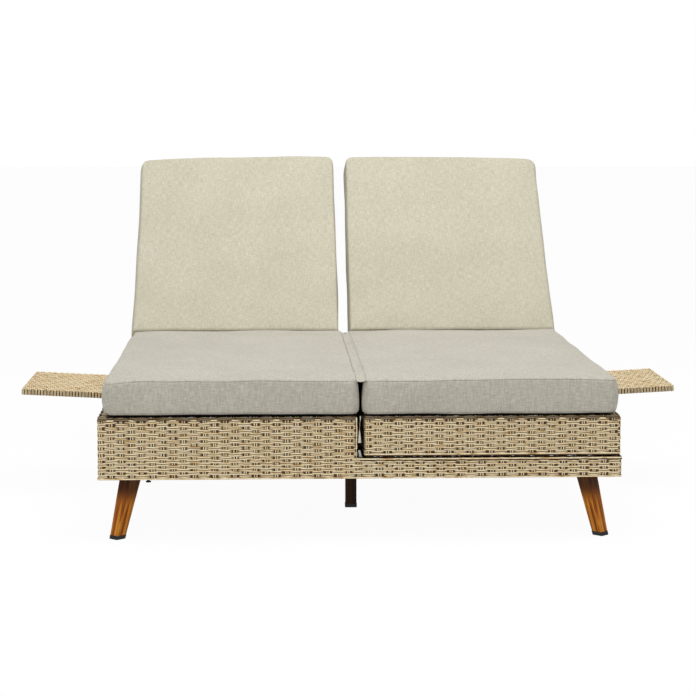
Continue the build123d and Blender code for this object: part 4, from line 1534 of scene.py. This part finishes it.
def height_below(x, y):
    """Height of the higher seat cushion under a point."""
    hits = [tree.ray_cast(Vector((x, y, 1.0)), Vector((0, 0, -1)))[0] for tree in supports]
    return max(hit.z if hit else 0.0 for hit in hits)


print("the cushions' tops stand at", round(height_below(0.2, seat_front + 0.3) / mm), "mm")

# %% Lay the strip
strip_low, strip_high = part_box("joining_strip")
strip_left = strip_low.x + 0.5 * mm
strip_right = strip_high.x + 4 * mm
strip_front = seat_front + 3 * mm
strip_thickness = 1.1 * mm
strip_hold = 24 * mm
strip_clearance = 0.5 * mm
strip_sag = 3 * mm
strip_columns = 8
strip_rows = 120

strip_points = []
for row in range(strip_rows + 1):
    y = strip_front + (strip_high.y - strip_front) * row / strip_rows
    wave = 0.5 * mm * sin(y * 41) + 0.3 * mm * sin(y * 97 + 1.0)
    rest_y = max(y, strip_front + strip_hold)
    heights = [height_below(edge + wave, rest_y) for edge in (strip_left, strip_right)]
    for way_across in np.linspace(0, 1, strip_columns + 1):
        x = strip_left + (strip_right - strip_left) * way_across + wave
        line = heights[0] + (heights[1] - heights[0]) * way_across
        hung = line - strip_sag * (1 - (2 * way_across - 1) ** 2)
        z = max(height_below(x, rest_y), hung) + strip_clearance + strip_thickness
        strip_points.append((x, y, z))
strip_faces = []
for row in range(strip_rows):
    for first in range(row * (strip_columns + 1), row * (strip_columns + 1) + strip_columns):
        second = first + strip_columns + 1
        strip_faces.append((first, first + 1, second + 1, second))
strip = new_piece("gap_strip", strip_points, strip_faces, seat_cloth)
# Both edges darken like seams: partly the stitching, partly painted shade along the strip's edges.
stitch_and_shade_row = [0.7] + [0.0] * (strip_columns - 1) + [0.7]
tag_points(strip, "seam", stitch_and_shade_row * (strip_rows + 1))
tag_points(strip, "cloth", strip_points)
thick = strip.modifiers.new("thickness", "SOLIDIFY")
thick.thickness = strip_thickness
thick.offset = -1
apply_modifiers(strip)
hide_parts("joining_strip")
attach(strip, "right_seat")
print("strip is", round((strip_high.y - strip_front), 3), "m long")

# %% [markdown]
# ## Small things that the eye finds
#
# A black moulded glide peeps out under the apron beside the left leg. A white tie tape of the
# cushion hangs in the gap between the two places: folded double, turned edge on in its middle and
# spread at its end, so it shows as two white specks. The glide is turned from an outline, and the
# tape is a strip whose rows turn about their middle.

# %% Turn the glide


def turned_piece(name, profile, place, finish, sides=24):
    """A solid of revolution about an upright axis, from pairs of radius and height."""
    points = []
    for radius, height in profile:
        for step in range(sides):
            angle = 2 * pi * step / sides
            points.append((place[0] + radius * cos(angle), place[1] + radius * sin(angle),
                           place[2] + height))
    faces = [list(range(sides))[::-1]]
    for ring in range(len(profile) - 1):
        for step in range(sides):
            near, far = ring * sides, (ring + 1) * sides
            after = (step + 1) % sides
            faces.append([near + step, near + after, far + after, far + step])
    faces.append(list(range((len(profile) - 1) * sides, len(profile) * sides)))
    piece = new_piece(name, points, faces, finish)
    piece.data.set_sharp_from_angle(angle=radians(35))
    return piece


glide_profile = [(6.5 * mm, 0), (7.2 * mm, 0.8 * mm), (7.2 * mm, 2.5 * mm), (4.2 * mm, 4 * mm),
                 (4.0 * mm, 12 * mm)]
glide_place = (-565 * mm, front + 20 * mm, apron_bottom - 9 * mm)
glide = turned_piece("frame_glide", glide_profile, glide_place, black_moulding)
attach(glide, "base")
print("glide at", [round(value, 3) for value in glide.bound_box[0]])

# %% Hang the tie tape
tape_width = 17 * mm
tape_length = 72 * mm
tape_thickness = 0.5 * mm
tape_fold = 0.9 * mm
tape_turns = ((0.0, 0.1, 0.2, 0.5, 0.62, 1.0), (-0.1, 0.0, 0.49, 0.51, 1.0, 1.1))
tape_gathers = ((0.0, 0.2, 0.55, 1.0), (0.3, 0.25, 0.3, 1.0))
tape_top = cushion_bottom + 1 * mm
tape_place = (-1 * mm, front + 8 * mm)
tape_lean = 2.4 * mm
tape_rows = 24

tape_points = []
for way_down in np.linspace(0, 1, tape_rows + 1):
    twist = pi * np.interp(way_down, *tape_turns)
    wide = tape_width * np.interp(way_down, *tape_gathers)
    centre_x = tape_place[0] - tape_lean * smooth_step(2 * way_down)
    for half, fold in ((0.5, -0.5), (-0.5, 0.0), (0.5, 0.5)):
        sideways, behind = half * wide / 2, fold * tape_fold
        tape_points.append((centre_x + sideways * cos(twist) - behind * sin(twist),
                            tape_place[1] + sideways * sin(twist) + behind * cos(twist),
                            tape_top - tape_length * way_down))
tape_faces = [(3 * row + half, 3 * row + half + 1, 3 * row + half + 4, 3 * row + half + 3)
              for row in range(tape_rows) for half in (0, 1)]
tape = new_piece("tie_tape", tape_points, tape_faces, white_tape)
tape_body = tape.modifiers.new("thickness", "SOLIDIFY")
tape_body.thickness = tape_thickness
tape_body.offset = 0
apply_modifiers(tape)
tape.data.set_sharp_from_angle(angle=radians(50))
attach(tape, "base")
print("tape hangs", tape_length / mm, "mm down")

# %% [markdown]
# ## Camera
#
# The photograph was taken from about 6.4 m away, a little left of the middle and 1.17 m up, with a
# long lens. These values came from fitting a perspective camera to the corners of the lounger.

# %% Set the camera
camera_data = bpy.data.cameras.new("photo_camera")
camera_data.lens = 106.8
camera_data.sensor_width = 36
camera_data.clip_end = 100
camera = bpy.data.objects.new("photo_camera", camera_data)
camera.location = (-0.246, -6.411, 1.168)
camera.rotation_euler = (radians(83.15), 0, radians(-2.24))
bpy.context.scene.collection.objects.link(camera)
bpy.context.scene.camera = camera
print("the camera stands", round(camera.location.length, 2), "m away")

# %% [markdown]
# ## Floor, world and lamps
#
# The product stands on white with no horizon. The floor is a pale matt sheet that keeps the soft
# shadow. To the camera most of its colour is a plain white glow, and to the rest of the light it
# is an ordinary pale floor. Two large soft lamps work from above, as in a studio.

# %% Lay the floor
floor_half = 30.0
glow_share = 0.96

floor_finish, tree = new_finish("backdrop_paper_white", "#FFFFFF")
paper = add_node(tree, "ShaderNodeBsdfDiffuse", {"Color": hex_linear("#FFFFFF")})
glow = add_node(tree, "ShaderNodeEmission", {"Color": (1, 1, 1, 1), "Strength": 1.0})
rays = add_node(tree, "ShaderNodeLightPath").outputs
seen = rays["Is Camera Ray"]
for kind in ("Is Glossy Ray", "Is Transmission Ray"):
    seen = add_node(tree, "ShaderNodeMath", {0: seen, 1: rays[kind]}, operation="MAXIMUM")
glowing = add_node(tree, "ShaderNodeMath", {0: seen, 1: glow_share}, operation="MULTIPLY")
floor_mix = add_node(tree, "ShaderNodeMixShader", {0: glowing, 1: paper, 2: glow})
add_node(tree, "ShaderNodeOutputMaterial", {"Surface": floor_mix})
floor_corners = [(x * floor_half, y * floor_half, 0)
                 for x, y in ((-1, -1), (1, -1), (1, 1), (-1, 1))]
floor = new_piece("floor", floor_corners, [(0, 1, 2, 3)], floor_finish)
print("floor lies at", floor.location.z)

# %% Light the scene
world_strength = 0.40

world = bpy.data.worlds.new("studio")
world.use_nodes = True
bpy.context.scene.world = world
tree = world.node_tree
tree.nodes.clear()
seen = add_node(tree, "ShaderNodeLightPath").outputs["Is Camera Ray"]
plain = add_node(tree, "ShaderNodeBackground", {"Color": (1, 1, 1, 1),
                                                "Strength": world_strength})
white = add_node(tree, "ShaderNodeBackground", {"Color": (1, 1, 1, 1), "Strength": 1.0})
world_mix = add_node(tree, "ShaderNodeMixShader", {0: seen, 1: plain, 2: white})
add_node(tree, "ShaderNodeOutputWorld", {"Surface": world_mix})

# Each lamp: where it stands, what it is aimed at, its side in metres and its power in watts.
lamps = {
    "overhead_softbox": ((0.2, -1.0, 4.2), (0.0, 0.1, 0.4), 3.2, 126),
    "front_softbox": ((-2.6, -4.2, 3.0), (0.0, 0.0, 0.4), 2.4, 22),
}
for name, (place, aim, size, watts) in lamps.items():
    lamp_data = bpy.data.lights.new(name, "AREA")
    lamp_data.shape = "SQUARE"
    lamp_data.size = size
    lamp_data.energy = watts
    lamp = bpy.data.objects.new(name, lamp_data)
    lamp.location = place
    lamp.rotation_euler = (Vector(aim) - Vector(place)).to_track_quat("-Z", "Y").to_euler()
    bpy.context.scene.collection.objects.link(lamp)
bpy.context.scene.view_settings.view_transform = "Standard"
print(len(lamps), "lamps")
